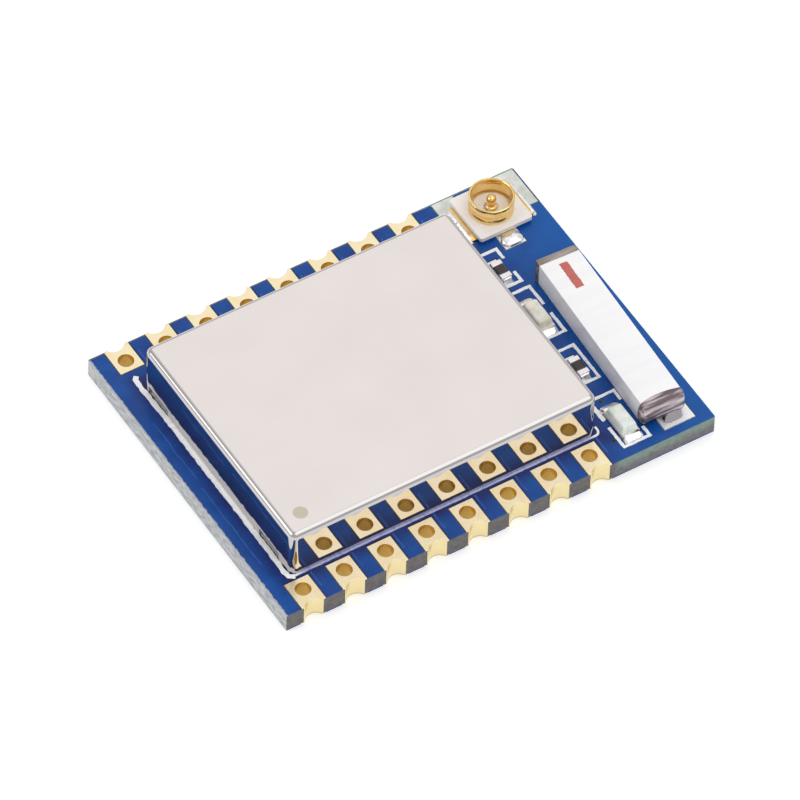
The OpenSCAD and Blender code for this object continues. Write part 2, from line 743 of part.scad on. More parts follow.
// Carrier plate with a half-round bite in each metallised end.
module led_base(y) {
  bite_r = 0.14;
  color([0.86, 0.83, 0.72]) translate([row_x, y, top]) difference() {
    block([lamp_w, lamp_l, lamp_base_t]);
    for (s = [-1, 1]) translate([0, s * lamp_l / 2, -over])
      cylinder(h = lamp_base_t + 2 * over, r = bite_r);
  }
}

module led_lens(y) {
  h = lamp_h - lamp_base_t;
  color([0.93, 0.94, 0.88]) translate([row_x - lamp_w / 2, y, top + lamp_base_t]) rotate([90, 0, 90])
    linear_extrude(lamp_w)
      polygon([[-lens_l / 2, 0], [lens_l / 2, 0], [lens_l / 2 - lens_draft, h], [lens_draft - lens_l / 2, h]]);
}

// ---- solder ----

// Fillets beyond both ends of a small part that lies along Y.
module end_fillets(part_l, part_w, leg) {
  for (a = [0, 180]) rotate([0, 0, a]) translate([-part_w / 2, part_l / 2, 0])
    rotate([90, 0, 90]) linear_extrude(part_w) fillet_section(leg);
}

module solder_joints() {
  lamp_leg = lamp_base_t;
  resistor_leg = land_out * 0.6;
  tab_leg = tab_t;
  color([0.9, 0.9, 0.92]) {
    for (y = lamp_ys) translate([row_x, y, top]) end_fillets(lamp_l, lamp_w, lamp_leg);
    for (y = resistor_ys) translate([row_x, y, top]) end_fillets(resistor_l, resistor_w, resistor_leg);
    translate([coax_x, coax_y - coax_side - tab_out, top]) rotate([0, 0, 180])
      translate([-signal_w / 2, 0, 0]) rotate([90, 0, 90]) linear_extrude(signal_w) fillet_section(tab_leg);
    for (a = [0, 180]) translate([coax_x, coax_y, top]) rotate([0, 0, a])
      translate([coax_side + tab_out, tab_w / 2, 0]) rotate([90, 0, 0])
        linear_extrude(tab_w) fillet_section(tab_leg);
    at_aerial() difference() {
      slab(0, aerial_w / 2 - front_cap_round, -aerial_l / 2 - aerial_pad_front / 2, ceramic_y0,
        0, front_cap_r * 0.7);
      front_bar();
    }
  }
}

circuit_board();
solder_mask_top();
solder_mask_bottom();
legend();
for (i = [1:CONTACT_COUNT])
  castellation(i);
can_land();
part_lands();
shield_can();
can_solder();
system_chip();
system_chip_lands();
flash_chip();
flash_leads();
crystal_base();
crystal_lid();
capacitor_bodies();
capacitor_ends();
coax_base();
coax_shell();
coax_pin();
aerial_body();
aerial_back_cap();
aerial_front_cap();
aerial_mark();
resistor_body(resistor_1_y);  // resistor_1_body
resistor_coat(resistor_1_y);  // resistor_1_coat
resistor_ends(resistor_1_y);  // resistor_1_ends
resistor_body(resistor_2_y);  // resistor_2_body
resistor_coat(resistor_2_y);  // resistor_2_coat
resistor_ends(resistor_2_y);  // resistor_2_ends
led_base(lamp_1_y);  // led_1_base
led_lens(lamp_1_y);  // led_1_lens
led_base(lamp_2_y);  // led_2_base
led_lens(lamp_2_y);  // led_2_lens
solder_joints();
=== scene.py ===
# %% [markdown]
# # A wireless network module, dressed for a studio picture
#
# The module is a small blue circuit board, 21 mm long and 16 mm wide. A drawn metal can is
# soldered over its circuit. Sixteen gold contacts run along its two long edges, and the free end
# carries a white ceramic aerial, a tiny coaxial receptacle, two lamps and two resistors.
#
# The solids come ready made, in metres, with the origin at the centre of the board's underside.
# Everything below is placed from those solids, so nothing has to be fitted by eye.

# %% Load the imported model
import json
import math
import random

import bmesh
import bpy
from mathutils import Matrix, Vector
from mathutils.geometry import tessellate_polygon


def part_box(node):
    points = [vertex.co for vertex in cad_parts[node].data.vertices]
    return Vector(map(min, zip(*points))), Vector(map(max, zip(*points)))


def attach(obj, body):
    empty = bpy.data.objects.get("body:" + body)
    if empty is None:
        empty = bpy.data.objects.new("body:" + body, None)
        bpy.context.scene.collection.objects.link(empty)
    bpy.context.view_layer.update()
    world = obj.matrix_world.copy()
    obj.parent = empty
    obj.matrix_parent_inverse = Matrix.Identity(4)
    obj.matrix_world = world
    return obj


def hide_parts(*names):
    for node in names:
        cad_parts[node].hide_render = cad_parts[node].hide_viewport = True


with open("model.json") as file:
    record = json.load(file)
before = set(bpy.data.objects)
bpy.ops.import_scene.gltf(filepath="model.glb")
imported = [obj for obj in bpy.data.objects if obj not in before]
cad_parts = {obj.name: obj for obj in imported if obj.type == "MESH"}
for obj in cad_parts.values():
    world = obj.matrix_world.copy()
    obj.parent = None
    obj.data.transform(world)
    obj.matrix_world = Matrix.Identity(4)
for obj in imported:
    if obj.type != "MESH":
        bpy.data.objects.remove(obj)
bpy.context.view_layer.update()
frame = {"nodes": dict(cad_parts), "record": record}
scene = bpy.context.scene
MM = 0.001


# %% [markdown]
# ## Helpers for making meshes
#
# Most pieces here are one of three kinds: a flat outline with thickness, a profile turned about an
# upright axis, or a stack of closed rings joined by faces. A helper for each keeps every later
# piece down to its own few sizes. All of them take millimetres, and every mesh is scaled to metres
# once, at the end.

# %% Helpers: finish a piece
PIECES = []


def mesh_object(name, bm):
    """An object in metres from a bmesh in millimetres."""
    mesh = bpy.data.meshes.new(name)
    bm.to_mesh(mesh)
    bm.free()
    mesh.transform(Matrix.Scale(MM, 4))
    made = bpy.data.objects.new(name, mesh)
    scene.collection.objects.link(made)
    return made


def finish_piece(name, bm, slot, replaces=(), smooth_angle=35, look=None, weld=True):
    """An object that rides on the board, in the finish of its slot unless a look is given.

    It is shaded smooth, but stays crisp where two faces meet at more than smooth_angle.
    """
    if weld:
        bmesh.ops.remove_doubles(bm, verts=bm.verts, dist=1e-5)
    bmesh.ops.recalc_face_normals(bm, faces=bm.faces)
    piece = mesh_object(name, bm)
    piece.data.materials.append((look or FINISHES[slot]).material)
    piece.data.shade_smooth()
    piece.data.set_sharp_from_angle(angle=math.radians(smooth_angle))
    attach(piece, "root")
    if replaces:
        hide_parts(*replaces)
    PIECES.append(piece)
    return piece


def round_off(piece, radius, segments=2, angle=40):
    """Breaks the piece's sharp edges with a small round."""
    bevel = piece.modifiers.new("broken edges", "BEVEL")
    bevel.width = radius * MM
    bevel.segments = segments
    bevel.limit_method = "ANGLE"
    bevel.angle_limit = math.radians(angle)


# %% Helpers: outlines in the flat
def rectangle(x0, x1, y0, y1):
    return [(x0, y0), (x1, y0), (x1, y1), (x0, y1)]


def arc(centre, radius, start, end, steps):
    """Points along an arc, both ends included. Angles in degrees."""
    turns = [math.radians(start + (end - start) * k / steps) for k in range(steps + 1)]
    return [(centre[0] + radius * math.cos(t), centre[1] + radius * math.sin(t)) for t in turns]


def circle(centre, radius, steps=48):
    return arc(centre, radius, 0, 360, steps)[:-1]


def round_rectangle(x0, x1, y0, y1, radius, steps=6):
    corners = [(x1 - radius, y1 - radius, 0), (x0 + radius, y1 - radius, 90),
               (x0 + radius, y0 + radius, 180), (x1 - radius, y0 + radius, 270)]
    points = []
    for x, y, start in corners:
        points += arc((x, y), radius, start, start + 90, steps)
    return points


# %% Helpers: flats, walls and rings of a mesh
def fill(bm, loops, z):
    """A flat face at height z: the first loop is its edge, the others are holes in it."""
    flat = [[Vector((x, y, z)) for x, y in loop] for loop in loops]
    verts = [bm.verts.new(p) for loop in flat for p in loop]
    for triangle in tessellate_polygon(flat):
        bm.faces.new([verts[k] for k in triangle])


def wall(bm, points, z0, z1, closed=True):
    """An upright wall that follows an outline between two heights."""
    low = [bm.verts.new((x, y, z0)) for x, y in points]
    high = [bm.verts.new((x, y, z1)) for x, y in points]
    last = len(points) if closed else len(points) - 1
    for k in range(last):
        n = (k + 1) % len(points)
        bm.faces.new((low[k], low[n], high[n], high[k]))


def plate(bm, loops, z0, z1):
    """A closed flat plate with its holes."""
    for z in (z0, z1):
        fill(bm, loops, z)
    for loop in loops:
        wall(bm, loop, z0, z1)


def ring_stack(bm, rings, cap_first=True, cap_last=True):
    """Joins closed rings of equal point counts, given as lists of (x, y, z)."""
    made = [[bm.verts.new(p) for p in ring] for ring in rings]
    count = len(rings[0])
    for low, high in zip(made, made[1:]):
        for k in range(count):
            n = (k + 1) % count
            bm.faces.new((low[k], low[n], high[n], high[k]))
    if cap_first:
        bm.faces.new(made[0])
    if cap_last:
        bm.faces.new(made[-1])


def turned(bm, profile, centre, steps=72, closed=False):
    """Turns a profile of (radius, height) about an upright axis through centre."""
    rings = [[(centre[0] + r * math.cos(2 * math.pi * k / steps),
               centre[1] + r * math.sin(2 * math.pi * k / steps), z) for k in range(steps)]
             for r, z in profile]
    if closed:
        rings.append(rings[0])
    ring_stack(bm, rings, cap_first=not closed, cap_last=not closed)


def block(bm, x0, x1, y0, y1, z0, z1):
    plate(bm, [rectangle(x0, x1, y0, y1)], z0, z1)


# %% [markdown]
# ## Where things are
#
# The boxes of the solids and the record's mounts give every position that the visual pieces need:
# the board's faces, the middle of each plated hole, the axis of the coaxial ring and the box of
# each small part.

# %% Places read from the solids
def box_mm(*nodes):
    """Lowest and highest corner of one or more solids, in millimetres."""
    boxes = [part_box(node) for node in nodes]
    low = Vector([min(b[0][axis] for b in boxes) for axis in range(3)]) / MM
    high = Vector([max(b[1][axis] for b in boxes) for axis in range(3)]) / MM
    return low, high


mounts = {m["name"]: m for m in frame["record"]["mounts"]}
board_low, board_high = box_mm("circuit_board")
top = box_mm("solder_mask_top")[1].z
can_low, can_high = box_mm("shield_can")
CONTACTS = range(1, 17)
hole_centres = {k: Vector(mounts[f"castellation_{k}_hole"]["pos_m"]) / MM for k in CONTACTS}
hole_radius = mounts["castellation_1_hole"]["dims"]["r_mm"]
coax_axis = Vector(mounts["coax_ring"]["pos_m"]) / MM
ring_radius = mounts["coax_ring"]["dims"]["r_mm"]
print("board top at", round(top, 3), "can", [round(v, 2) for v in can_high - can_low])


# %% [markdown]
# ## Finishes
#
# Every finish is a small tree of shader nodes. Its patterns are worked out in millimetres, from the
# place of each point on the object. Colour, roughness and bump all come from a few noises.

# %% Helpers: shader nodes
def paint(red, green, blue):
    """A display colour, 0 to 255 a channel, as the linear colour that shaders take."""
    def linear(value):
        value = value / 255
        return value / 12.92 if value <= 0.04045 else ((value + 0.055) / 1.055) ** 2.4
    return (linear(red), linear(green), linear(blue), 1.0)


def plug(links, value, socket):
    """Sets an input: from another node's output, from a display colour, or to a plain value."""
    if isinstance(value, bpy.types.NodeSocket):
        links.new(value, socket)
    elif socket.type == "RGBA" and len(value) == 3:
        socket.default_value = paint(*value)
    else:
        socket.default_value = value


class Finish:
    """A material, and the patterns that feed its Principled shader."""

    def __init__(self, name, colour, roughness=0.5, metallic=0.0, **sockets):
        self.material = bpy.data.materials.new(name)
        self.material.use_nodes = True
        self.material.diffuse_color = paint(*colour)
        self.nodes = self.material.node_tree.nodes
        self.links = self.material.node_tree.links
        self.shader = self.nodes["Principled BSDF"]
        sockets.update(Base_Color=colour, Roughness=roughness, Metallic=metallic)
        for socket, value in sockets.items():
            self.feed(socket.replace("_", " "), value)

    def feed(self, socket, value):
        """Drives an input of the Principled shader."""
        plug(self.links, value, self.shader.inputs[socket])

    def node(self, kind, **inputs):
        """Adds a shader node. An input is given a value or the output that feeds it."""
        node = self.nodes.new("ShaderNode" + kind)
        for key, value in inputs.items():
            plug(self.links, value, node.inputs[key.replace("_", " ")])
        return node

    def places(self, stretch=(1, 1, 1)):
        """The place on the object in millimetres, stretched along each axis."""
        coordinates = self.node("TexCoord").outputs["Object"]
        scale = [factor / MM for factor in stretch]
        return self.node("Mapping", Vector=coordinates, Scale=scale).outputs["Vector"]

    def noise(self, per_mm, detail=3.0, stretch=(1, 1, 1)):
        """A soft random pattern with about per_mm lumps in a millimetre."""
        lumps = self.node("TexNoise", Vector=self.places(stretch), Scale=per_mm, Detail=detail)
        return lumps.outputs["Fac"]

    def mottle(self, per_mm, detail=3.0, stretch=(1, 1, 1), low=0.3, high=0.7):
        """The same pattern, opened up so that it runs from 0 to 1."""
        return self.spread(self.noise(per_mm, detail, stretch), low, high)

    def roughen(self, per_mm, detail, smooth, rough):
        """Lets the roughness wander between two values."""
        self.feed("Roughness", self.spread(self.noise(per_mm, detail), 0.3, 0.7, smooth, rough))

    def axis_of(self, axis):
        """One coordinate of the place, in millimetres."""
        return self.node("SeparateXYZ", Vector=self.places()).outputs[axis]

    def facing(self, axis):
        """How far the surface faces along an axis of the object, from -1 to 1."""
        normal = self.node("NewGeometry").outputs["Normal"]
        return self.node("SeparateXYZ", Vector=normal).outputs[axis]

    def times(self, first, second):
        return self.maths("MULTIPLY", first, second)

    def maths(self, operation, first, second=0.0):
        node = self.node("Math")
        node.operation = operation
        for socket, value in zip(node.inputs, (first, second)):
            plug(self.links, value, socket)
        return node.outputs["Value"]

    def spread(self, value, low, high, out_low=0.0, out_high=1.0):
        """Maps a range of values onto another, and holds it there."""
        node = self.node("MapRange", Value=value, From_Min=low, From_Max=high,
                         To_Min=out_low, To_Max=out_high)
        return node.outputs["Result"]

    def blend(self, factor, first, second):
        """Mixes two colours. Each is a display colour or the output of a node."""
        node = self.node("Mix")
        node.data_type = "RGBA"
        for index, value in ((0, factor), (6, first), (7, second)):
            plug(self.links, value, node.inputs[index])
        return node.outputs[2]

    def tint(self, factor, first, second):
        """Lets the colour vary between two."""
        self.feed("Base Color", self.blend(factor, first, second))

    def bump(self, height, depth_mm):
        """Raises the surface by up to depth_mm where height is 1."""
        node = self.node("Bump", Height=height, Strength=1.0, Distance=depth_mm * MM)
        self.feed("Normal", node.outputs["Normal"])


# %% [markdown]
# The board's blue lacquer is glossy and slightly mottled. Close to the can it is painted a darker
# navy, painted shade of the can, and towards the free end a brighter blue, a painted sheen. The
# left edge of the board was snapped from its neighbour along a scored line, so the lacquer there is
# chipped and pale glass fibre shows. The other edges were milled, which leaves them darker.

# %% Finishes of the board
# In millimetres: the heights at which a milled edge turns green, and the ends of the painted shade on
# the front print.
MILLED_TURNS_GREEN = (0.55, 0.85)
SHADED_PRINT_ENDS = (-8.6, 5.3)


def from_can(look):
    """How far outside the can's plan a point lies, in millimetres."""
    x, y = look.axis_of("X"), look.axis_of("Y")
    across = look.maths("MAXIMUM", look.maths("SUBTRACT", can_low.x, x),
                        look.maths("SUBTRACT", x, can_high.x))
    along = look.maths("MAXIMUM", look.maths("SUBTRACT", can_low.y, y),
                       look.maths("SUBTRACT", y, can_high.y))
    return look.maths("MAXIMUM", across, along)


def lacquer():
    look = Finish("blue_lacquer", (20, 56, 134), 0.25, Specular_IOR_Level=0.25)
    mottle = look.mottle(0.8, 5)
    open_blue = look.blend(mottle, (14, 58, 134), (16, 80, 158))
    # Painted sheen: the blue brightens towards the board's free end, past the can.
    far_end_sheen = look.spread(look.axis_of("X"), can_high.x + 1, board_high.x, 0, 0.7)
    open_blue = look.blend(far_end_sheen, open_blue, (10, 92, 172))
    # Painted shade: within about 0.8 mm of the can the blue on top turns a darker navy, as if in the
    # can's shadow.
    shaded_blue = look.blend(mottle, (22, 26, 84), (22, 42, 112))
    is_under = look.spread(look.facing("Z"), 0, -0.5)
    is_open = look.maths("MAXIMUM", look.spread(from_can(look), 0.1, 0.8), is_under)
    blue = look.blend(is_open, shaded_blue, open_blue)
    chips = look.times(look.noise(5, 4, (0.5, 1, 1)), 0.16)
    edge = look.maths("SUBTRACT", look.axis_of("X"), chips)
    bare = look.spread(edge, board_low.x - 0.025, board_low.x - 0.045)
    look.tint(bare, blue, (172, 176, 178))
    look.roughen(3, 4, 0.16, 0.3)
    look.bump(look.noise(1.6, 4), 0.012)
    return look


def cut_laminate():
    look = Finish("cut_laminate", (120, 118, 108), 0.75)
    fibre = look.noise(4, 4, (1, 0.6, 1.4))
    grain = look.spread(fibre, 0.3, 0.7)
    tongue = look.blend(grain, (96, 92, 94), (122, 118, 118))
    low_part = look.blend(grain, (108, 106, 112), (132, 130, 134))
    high_part = look.blend(grain, (118, 142, 132), (140, 160, 150))
    height = look.maths("ADD", look.axis_of("Z"), look.times(fibre, 0.4))
    plain = look.blend(look.spread(height, *MILLED_TURNS_GREEN), low_part, high_part)
    past_contacts = max(centre.x for centre in hole_centres.values()) + 0.7
    is_plain = look.spread(look.axis_of("X"), past_contacts, past_contacts + 0.3)
    milled = look.blend(is_plain, tongue, plain)
    scored = look.blend(look.spread(fibre, 0.3, 0.62), (150, 154, 158), (206, 208, 210))
    is_left = look.spread(look.facing("X"), -0.5, -0.9)
    look.tint(is_left, milled, scored)
    look.bump(fibre, 0.02)
    return look


def legend_ink():
    """Solid white, but bluish grey along the can's front: painted shade cast by the can's wall."""
    look = Finish("legend_ink", (232, 232, 244), 0.6)
    thin = look.mottle(6, 4, high=0.5)
    solid = look.blend(thin, (238, 238, 248), (253, 253, 253))
    # Painted shade: along the can's front wall the ink turns a bluish grey, as if shaded by the wall.
    shaded_front_ink = look.blend(thin, (150, 156, 212), (190, 194, 232))
    x = look.axis_of("X")
    start, stop = SHADED_PRINT_ENDS
    is_front = look.spread(look.axis_of("Y"), can_low.y + 0.1, can_low.y)
    is_front = look.times(is_front, look.spread(x, start - 0.5, start))
    is_front = look.times(is_front, look.spread(x, stop + 0.3, stop))
    look.tint(is_front, solid, shaded_front_ink)
    look.bump(look.noise(9, 2), 0.003)
    return look


# %% [markdown]
# The contacts are copper under nickel and a flash of gold. Flat lands reflect the bright studio and
# look almost cream. The walls of the holes are painted a deep amber, as painted shade, and the
# curved notch walls a paler gold, with less of that painted shade. The other lands are tinned.
# The solder is bright, but dull where the aerial's front end is soldered down.

# %% Finishes of the contacts, lands and solder
GROUND_LANDS_FROM_Y = 5.0
DULL_SOLDER_FROM = (can_high.x + 2.6, -4.5)


def contact_gold():
    look = Finish("contact_gold", (250, 226, 176), 0.3, 1.0)
    land = look.blend(look.mottle(2.5, 4), (252, 232, 186), (255, 242, 208))
    past_hole = look.maths("ABSOLUTE", look.axis_of("Y"))
    notch_wall = look.spread(past_hole, board_high.y - 0.4, board_high.y - 0.3)
    # Painted shade: upright walls get a darker amber than the flat lands, the hole walls most, the
    # notch walls less.
    wall = look.blend(notch_wall, (232, 196, 112), (240, 224, 176))
    flat = look.spread(look.maths("ABSOLUTE", look.facing("Z")), 0.3, 0.9)
    look.tint(flat, wall, land)
    rough = look.spread(look.noise(8, 3), 0.3, 0.7, 0.24, 0.3)
    look.feed("Roughness", look.times(rough, look.spread(flat, 0, 1, 0.6, 1)))
    look.bump(look.noise(3, 2), 0.0015)
    return look


def tinned_copper():
    look = Finish("tinned_copper", (214, 216, 208), 0.35, 0.5)
    ground = look.blend(look.mottle(2.2, 4, low=0.35, high=0.65), (204, 208, 196), (230, 231, 228))
    is_ground = look.spread(look.axis_of("Y"), GROUND_LANDS_FROM_Y, GROUND_LANDS_FROM_Y + 0.2)
    look.tint(is_ground, (248, 247, 250), ground)
    look.roughen(5, 3, 0.35, 0.55)
    look.bump(look.noise(3, 3), 0.02)
    return look


def bright_solder():
    look = Finish("bright_solder", (244, 242, 244), 0.16, 1.0)
    x, y = DULL_SOLDER_FROM
    is_aerial = look.spread(look.axis_of("X"), x, x + 0.2)
    is_front = look.spread(look.axis_of("Y"), y, y - 0.5)
    flux = look.maths("MAXIMUM", look.mottle(4, 4, low=0.55, high=0.75),
                      look.times(is_front, is_aerial))
    look.tint(flux, (250, 248, 250), (184, 178, 182))
    look.roughen(6, 3, 0.1, 0.3)
    look.bump(look.noise(5, 3), 0.02)
    return look


# %% [markdown]
# The can is drawn from thin nickel silver. Its top is satin, with a fine grain, and its walls and
# the bend round them were burnished bright by the drawing die, so they mirror the contacts. The
# walls and the bend are painted a darker grey than the top, as painted shade in what they mirror.
# A round dot on the top marks the corner of the first contact.

# %% Finishes of the can and what is under it
DOT_INSET = 1.0
DOT_RADIUS = 0.32
DOT_BLUR = 0.02


def drawn_can():
    look = Finish("drawn_can", (226, 220, 216), 0.3, 1.0)
    warm = look.blend(look.mottle(0.35, 3), (235, 227, 223), (239, 231, 227))
    across = look.maths("SUBTRACT", look.axis_of("X"), can_low.x + DOT_INSET)
    along = look.maths("SUBTRACT", look.axis_of("Y"), can_low.y + DOT_INSET)
    squares = look.maths("ADD", look.times(across, across), look.times(along, along))
    dot = look.spread(squares, (DOT_RADIUS + DOT_BLUR) ** 2, (DOT_RADIUS - DOT_BLUR) ** 2)
    marked = look.blend(dot, warm, (206, 198, 178))
    is_top = look.spread(look.facing("Z"), 0.975, 0.999)
    # Painted shade: the walls and the bend get a darker grey than the top, which darkens their
    # reflections.
    look.tint(is_top, (196, 192, 192), marked)
    satin = look.spread(look.noise(12, 4, (1, 0.25, 1)), 0.3, 0.7, 0.3, 0.38)
    look.feed("Roughness", look.times(satin, look.spread(is_top, 0, 1, 0.15, 1)))
    look.bump(look.times(look.noise(14, 4), is_top), 0.0015)
    return look


def moulded_package():
    look = Finish("moulded_package", (42, 42, 44), 0.55)
    look.roughen(16, 4, 0.45, 0.65)
    look.bump(look.noise(24, 4), 0.006)
    return look


def fired_ceramic(name, colour, pale):
    look = Finish(name, colour, 0.55)
    look.tint(look.noise(8, 4), colour, pale)
    look.bump(look.noise(18, 3), 0.003)
    return look


def plated_lead(name, colour, roughness=0.3):
    look = Finish(name, colour, roughness, 1.0)
    look.roughen(9, 3, roughness - 0.08, roughness + 0.1)
    look.bump(look.noise(10, 3), 0.004)
    return look


# %% [markdown]
# The receptacle is polished gold on a satin white moulding. The aerial is a bar of glazed white
# ceramic with faint lengthwise streaks. Fired silver paste closes both its ends: thin and matt at
# the back, thick and wrinkled along the bar at the front.

# %% Finishes of the receptacle and the aerial
def receptacle_gold():
    look = Finish("receptacle_gold", (238, 196, 112), 0.14, 1.0)
    look.tint(look.mottle(2, 3), (238, 200, 122), (252, 222, 154))
    look.roughen(7, 3, 0.08, 0.22)
    return look


def white_moulding():
    look = Finish("white_moulding", (244, 239, 238), 0.42)
    look.tint(look.noise(3, 3), (240, 233, 232), (250, 246, 245))
    look.bump(look.noise(14, 3), 0.004)
    return look


def glazed_aerial():
    look = Finish("glazed_aerial", (244, 241, 244), 0.34)
    streaks = look.noise(1.2, 4, (0.12, 1.8, 1))
    look.tint(look.spread(streaks, 0.3, 0.7), (246, 244, 246), (251, 250, 251))
    look.bump(streaks, 0.0012)
    return look


def fired_silver(name, dark, pale):
    """Ribs run along X: the pattern barely changes along X and quickly across it. Its pale streaks
    are painted highlights; its bumps are the ribs themselves.
    """
    look = Finish(name, dark, 0.36, 0.75)
    ribs_and_highlights = look.noise(5, 4, (0.12, 1, 1))
    # Painted highlights: pale streaks along the ribs.
    look.tint(look.spread(ribs_and_highlights, 0.42, 0.62), dark, pale)
    look.feed("Roughness", look.spread(ribs_and_highlights, 0.3, 0.7, 0.5, 0.28))
    look.bump(ribs_and_highlights, 0.011)
    return look


def mark_ink():
    look = Finish("mark_ink", (190, 96, 88), 0.6)
    look.tint(look.noise(7, 4), (182, 86, 80), (206, 118, 108))
    return look


# %% Finishes of the lamps, the resistors and the lines over the tracks
def lamp_resin(name, colour, pale, cloud):
    look = Finish(name, colour, 0.24, Subsurface_Weight=cloud, Subsurface_Scale=0.2 * MM)
    look.tint(look.mottle(3, 4, low=0.35, high=0.65), colour, pale)
    look.bump(look.noise(4, 3), 0.01)
    return look


def black_glaze():
    look = Finish("black_glaze", (44, 38, 38), 0.3)
    look.tint(look.noise(6, 4), (34, 28, 28), (66, 58, 56))
    look.roughen(9, 3, 0.22, 0.42)
    look.bump(look.noise(8, 3), 0.008)
    return look


def relief_lacquer_highlit():
    look = Finish("relief_lacquer_highlit", (40, 84, 160), 0.3, Specular_IOR_Level=0.25)
    # Painted highlight: lighter than the lacquer round it, as if the ridges catch the light.
    look.tint(look.noise(1.5, 3), (18, 70, 148), (62, 98, 176))
    return look


# %% One finish for each slot of the record, and four for pieces that differ from their slot
FINISHES = {
    "solder_mask": lacquer(),
    "laminate": cut_laminate(),
    "legend_ink": legend_ink(),
    "contact_gold": contact_gold(),
    "tin": tinned_copper(),
    "solder": bright_solder(),
    "can_steel": drawn_can(),
    "chip_black": moulded_package(),
    "chip_lead": plated_lead("chip_lead", (206, 206, 208)),
    "package_ceramic": fired_ceramic("package_ceramic", (176, 158, 134), (202, 188, 164)),
    "lid_metal": plated_lead("lid_metal", (212, 210, 204), 0.36),
    "coax_moulding": white_moulding(),
    "coax_gold": receptacle_gold(),
    "aerial_ceramic": glazed_aerial(),
    "aerial_metal": fired_silver("aerial_back_metal", (138, 124, 116), (178, 168, 162)),
    "mark_ink": mark_ink(),
    "resistor_coat": black_glaze(),
    "resistor_ceramic": fired_ceramic("resistor_ceramic", (226, 222, 214), (244, 242, 238)),
    "lamp_carrier": fired_ceramic("lamp_carrier", (224, 218, 196), (240, 236, 222)),
    "lamp_lens": lamp_resin("lamp_resin", (226, 236, 224), (250, 253, 248), 0.25),
}
front_silver = fired_silver("aerial_front_metal", (112, 98, 104), (218, 206, 210))
cream_resin = lamp_resin("cream_resin", (224, 220, 202), (246, 243, 232), 0.15)
bright_end = plated_lead("bright_end", (242, 236, 238), 0.24)
raised_lacquer_highlit = relief_lacquer_highlit()
print(len(FINISHES), "finishes for the slots")

# %% Dress the solids that stay
SLOT_OF = {entry["node"]: entry["material_slot"] for entry in frame["record"]["subparts"]}
for node_name, node in frame["nodes"].items():
    node.data.materials.clear()
    node.data.materials.append(FINISHES[SLOT_OF[node_name]].material)
print(len(SLOT_OF), "solids dressed")


# %% [markdown]
# ## Contacts
#
# A castellated contact is a flat land with a plated hole, cut through at the board's edge by part of
# a larger hole. The plating lines both, so the land, the tube and the curved wall of the notch are
# one skin. One outline with an arc in it makes the land, and the same arc, pulled down to the
# underside, makes the notch wall. The skin is closed inside the board, where nobody sees it.

# %% Sizes of a contact
land_low, land_high = box_mm("castellation_1")
land_half = (land_high.x - land_low.x) / 2
land_length = land_high.y - land_low.y
hole_inset = hole_centres[1].y - board_low.y
SKIN = board_low.z
PLATING = 0.04
NOTCH_RADIUS = 0.5
NOTCH_DEPTH = 0.25
print("a land is", round(2 * land_half, 2), "by", round(land_length, 2), "mm")


# %% Build the sixteen contacts
def notch_arc(radius, steps=24):
    """The notch in a land that starts at y = 0, from its left end to its right end."""
    middle = NOTCH_DEPTH - NOTCH_RADIUS
    reach = math.degrees(math.acos(-middle / radius))
    return arc((0, middle), radius, 90 + reach, 90 - reach, steps)


def contact_skin(bm):
    half, length = land_half, land_length
    inner, outer = notch_arc(NOTCH_RADIUS), notch_arc(NOTCH_RADIUS + PLATING)
    bore, tube = circle((0, hole_inset), hole_radius), circle((0, hole_inset), hole_radius + PLATING)
    rest = [(half, 0), (half, length), (-half, length), (-half, 0)]
    for z in (0, board_high.z + SKIN):
        fill(bm, [inner + rest, bore], z)
    for z in (SKIN, board_high.z):
        fill(bm, [outer + rest, tube], z)
    for z0, z1 in ((0, SKIN), (board_high.z, top)):
        wall(bm, rest, z0, z1, closed=False)
    wall(bm, bore, 0, top)
    wall(bm, tube, SKIN, board_high.z)
    wall(bm, inner, 0, top, closed=False)
    wall(bm, outer, SKIN, board_high.z, closed=False)
    for side in (-1, 1):
        near, far = side * inner[-1][0], side * outer[-1][0]
        lip = [(side * half, top), (near, top), (near, 0), (side * half, 0), (side * half, SKIN),
               (far, SKIN), (far, board_high.z), (side * half, board_high.z)]
        bm.faces.new([bm.verts.new((x, 0, z)) for x, z in lip])


for number in CONTACTS:
    bm = bmesh.new()
    contact_skin(bm)
    centre = hole_centres[number]
    edge_y = board_low.y if centre.y < 0 else board_high.y
    turn_about = Matrix.Rotation(0 if centre.y < 0 else math.pi, 4, "Z")
    bm.transform(Matrix.Translation((centre.x, edge_y, 0)) @ turn_about)
    contact = finish_piece(f"contact_{number}", bm, "contact_gold", [f"castellation_{number}"], 30)
    round_off(contact, 0.018, 2, 50)
print(len(PIECES), "contacts")


# %% [markdown]
# ## Can
#
# The can is one sheet, pressed over a block: flat on top, a tight bend all the way round, and
# straight walls. Rings of points carry that section. A second ring close to each end of the bend
# keeps the flats truly flat, because smooth shading would otherwise bow their reflections. Low
# slots in both short walls let the flux be washed out.

# %% Sizes of the can
CAN_CORNER = 0.33
CAN_BEND = 0.27
SHEET = 0.2
SLOT_TOP = 0.4
SLOT_LENGTH = 1.55
SLOT_CENTRES = (4.38, -4.52)
SUPPORT = 0.03
CORNER_POINTS = 9
slot_marks = [y + side * SLOT_LENGTH / 2 for y in SLOT_CENTRES for side in (1, -1)]


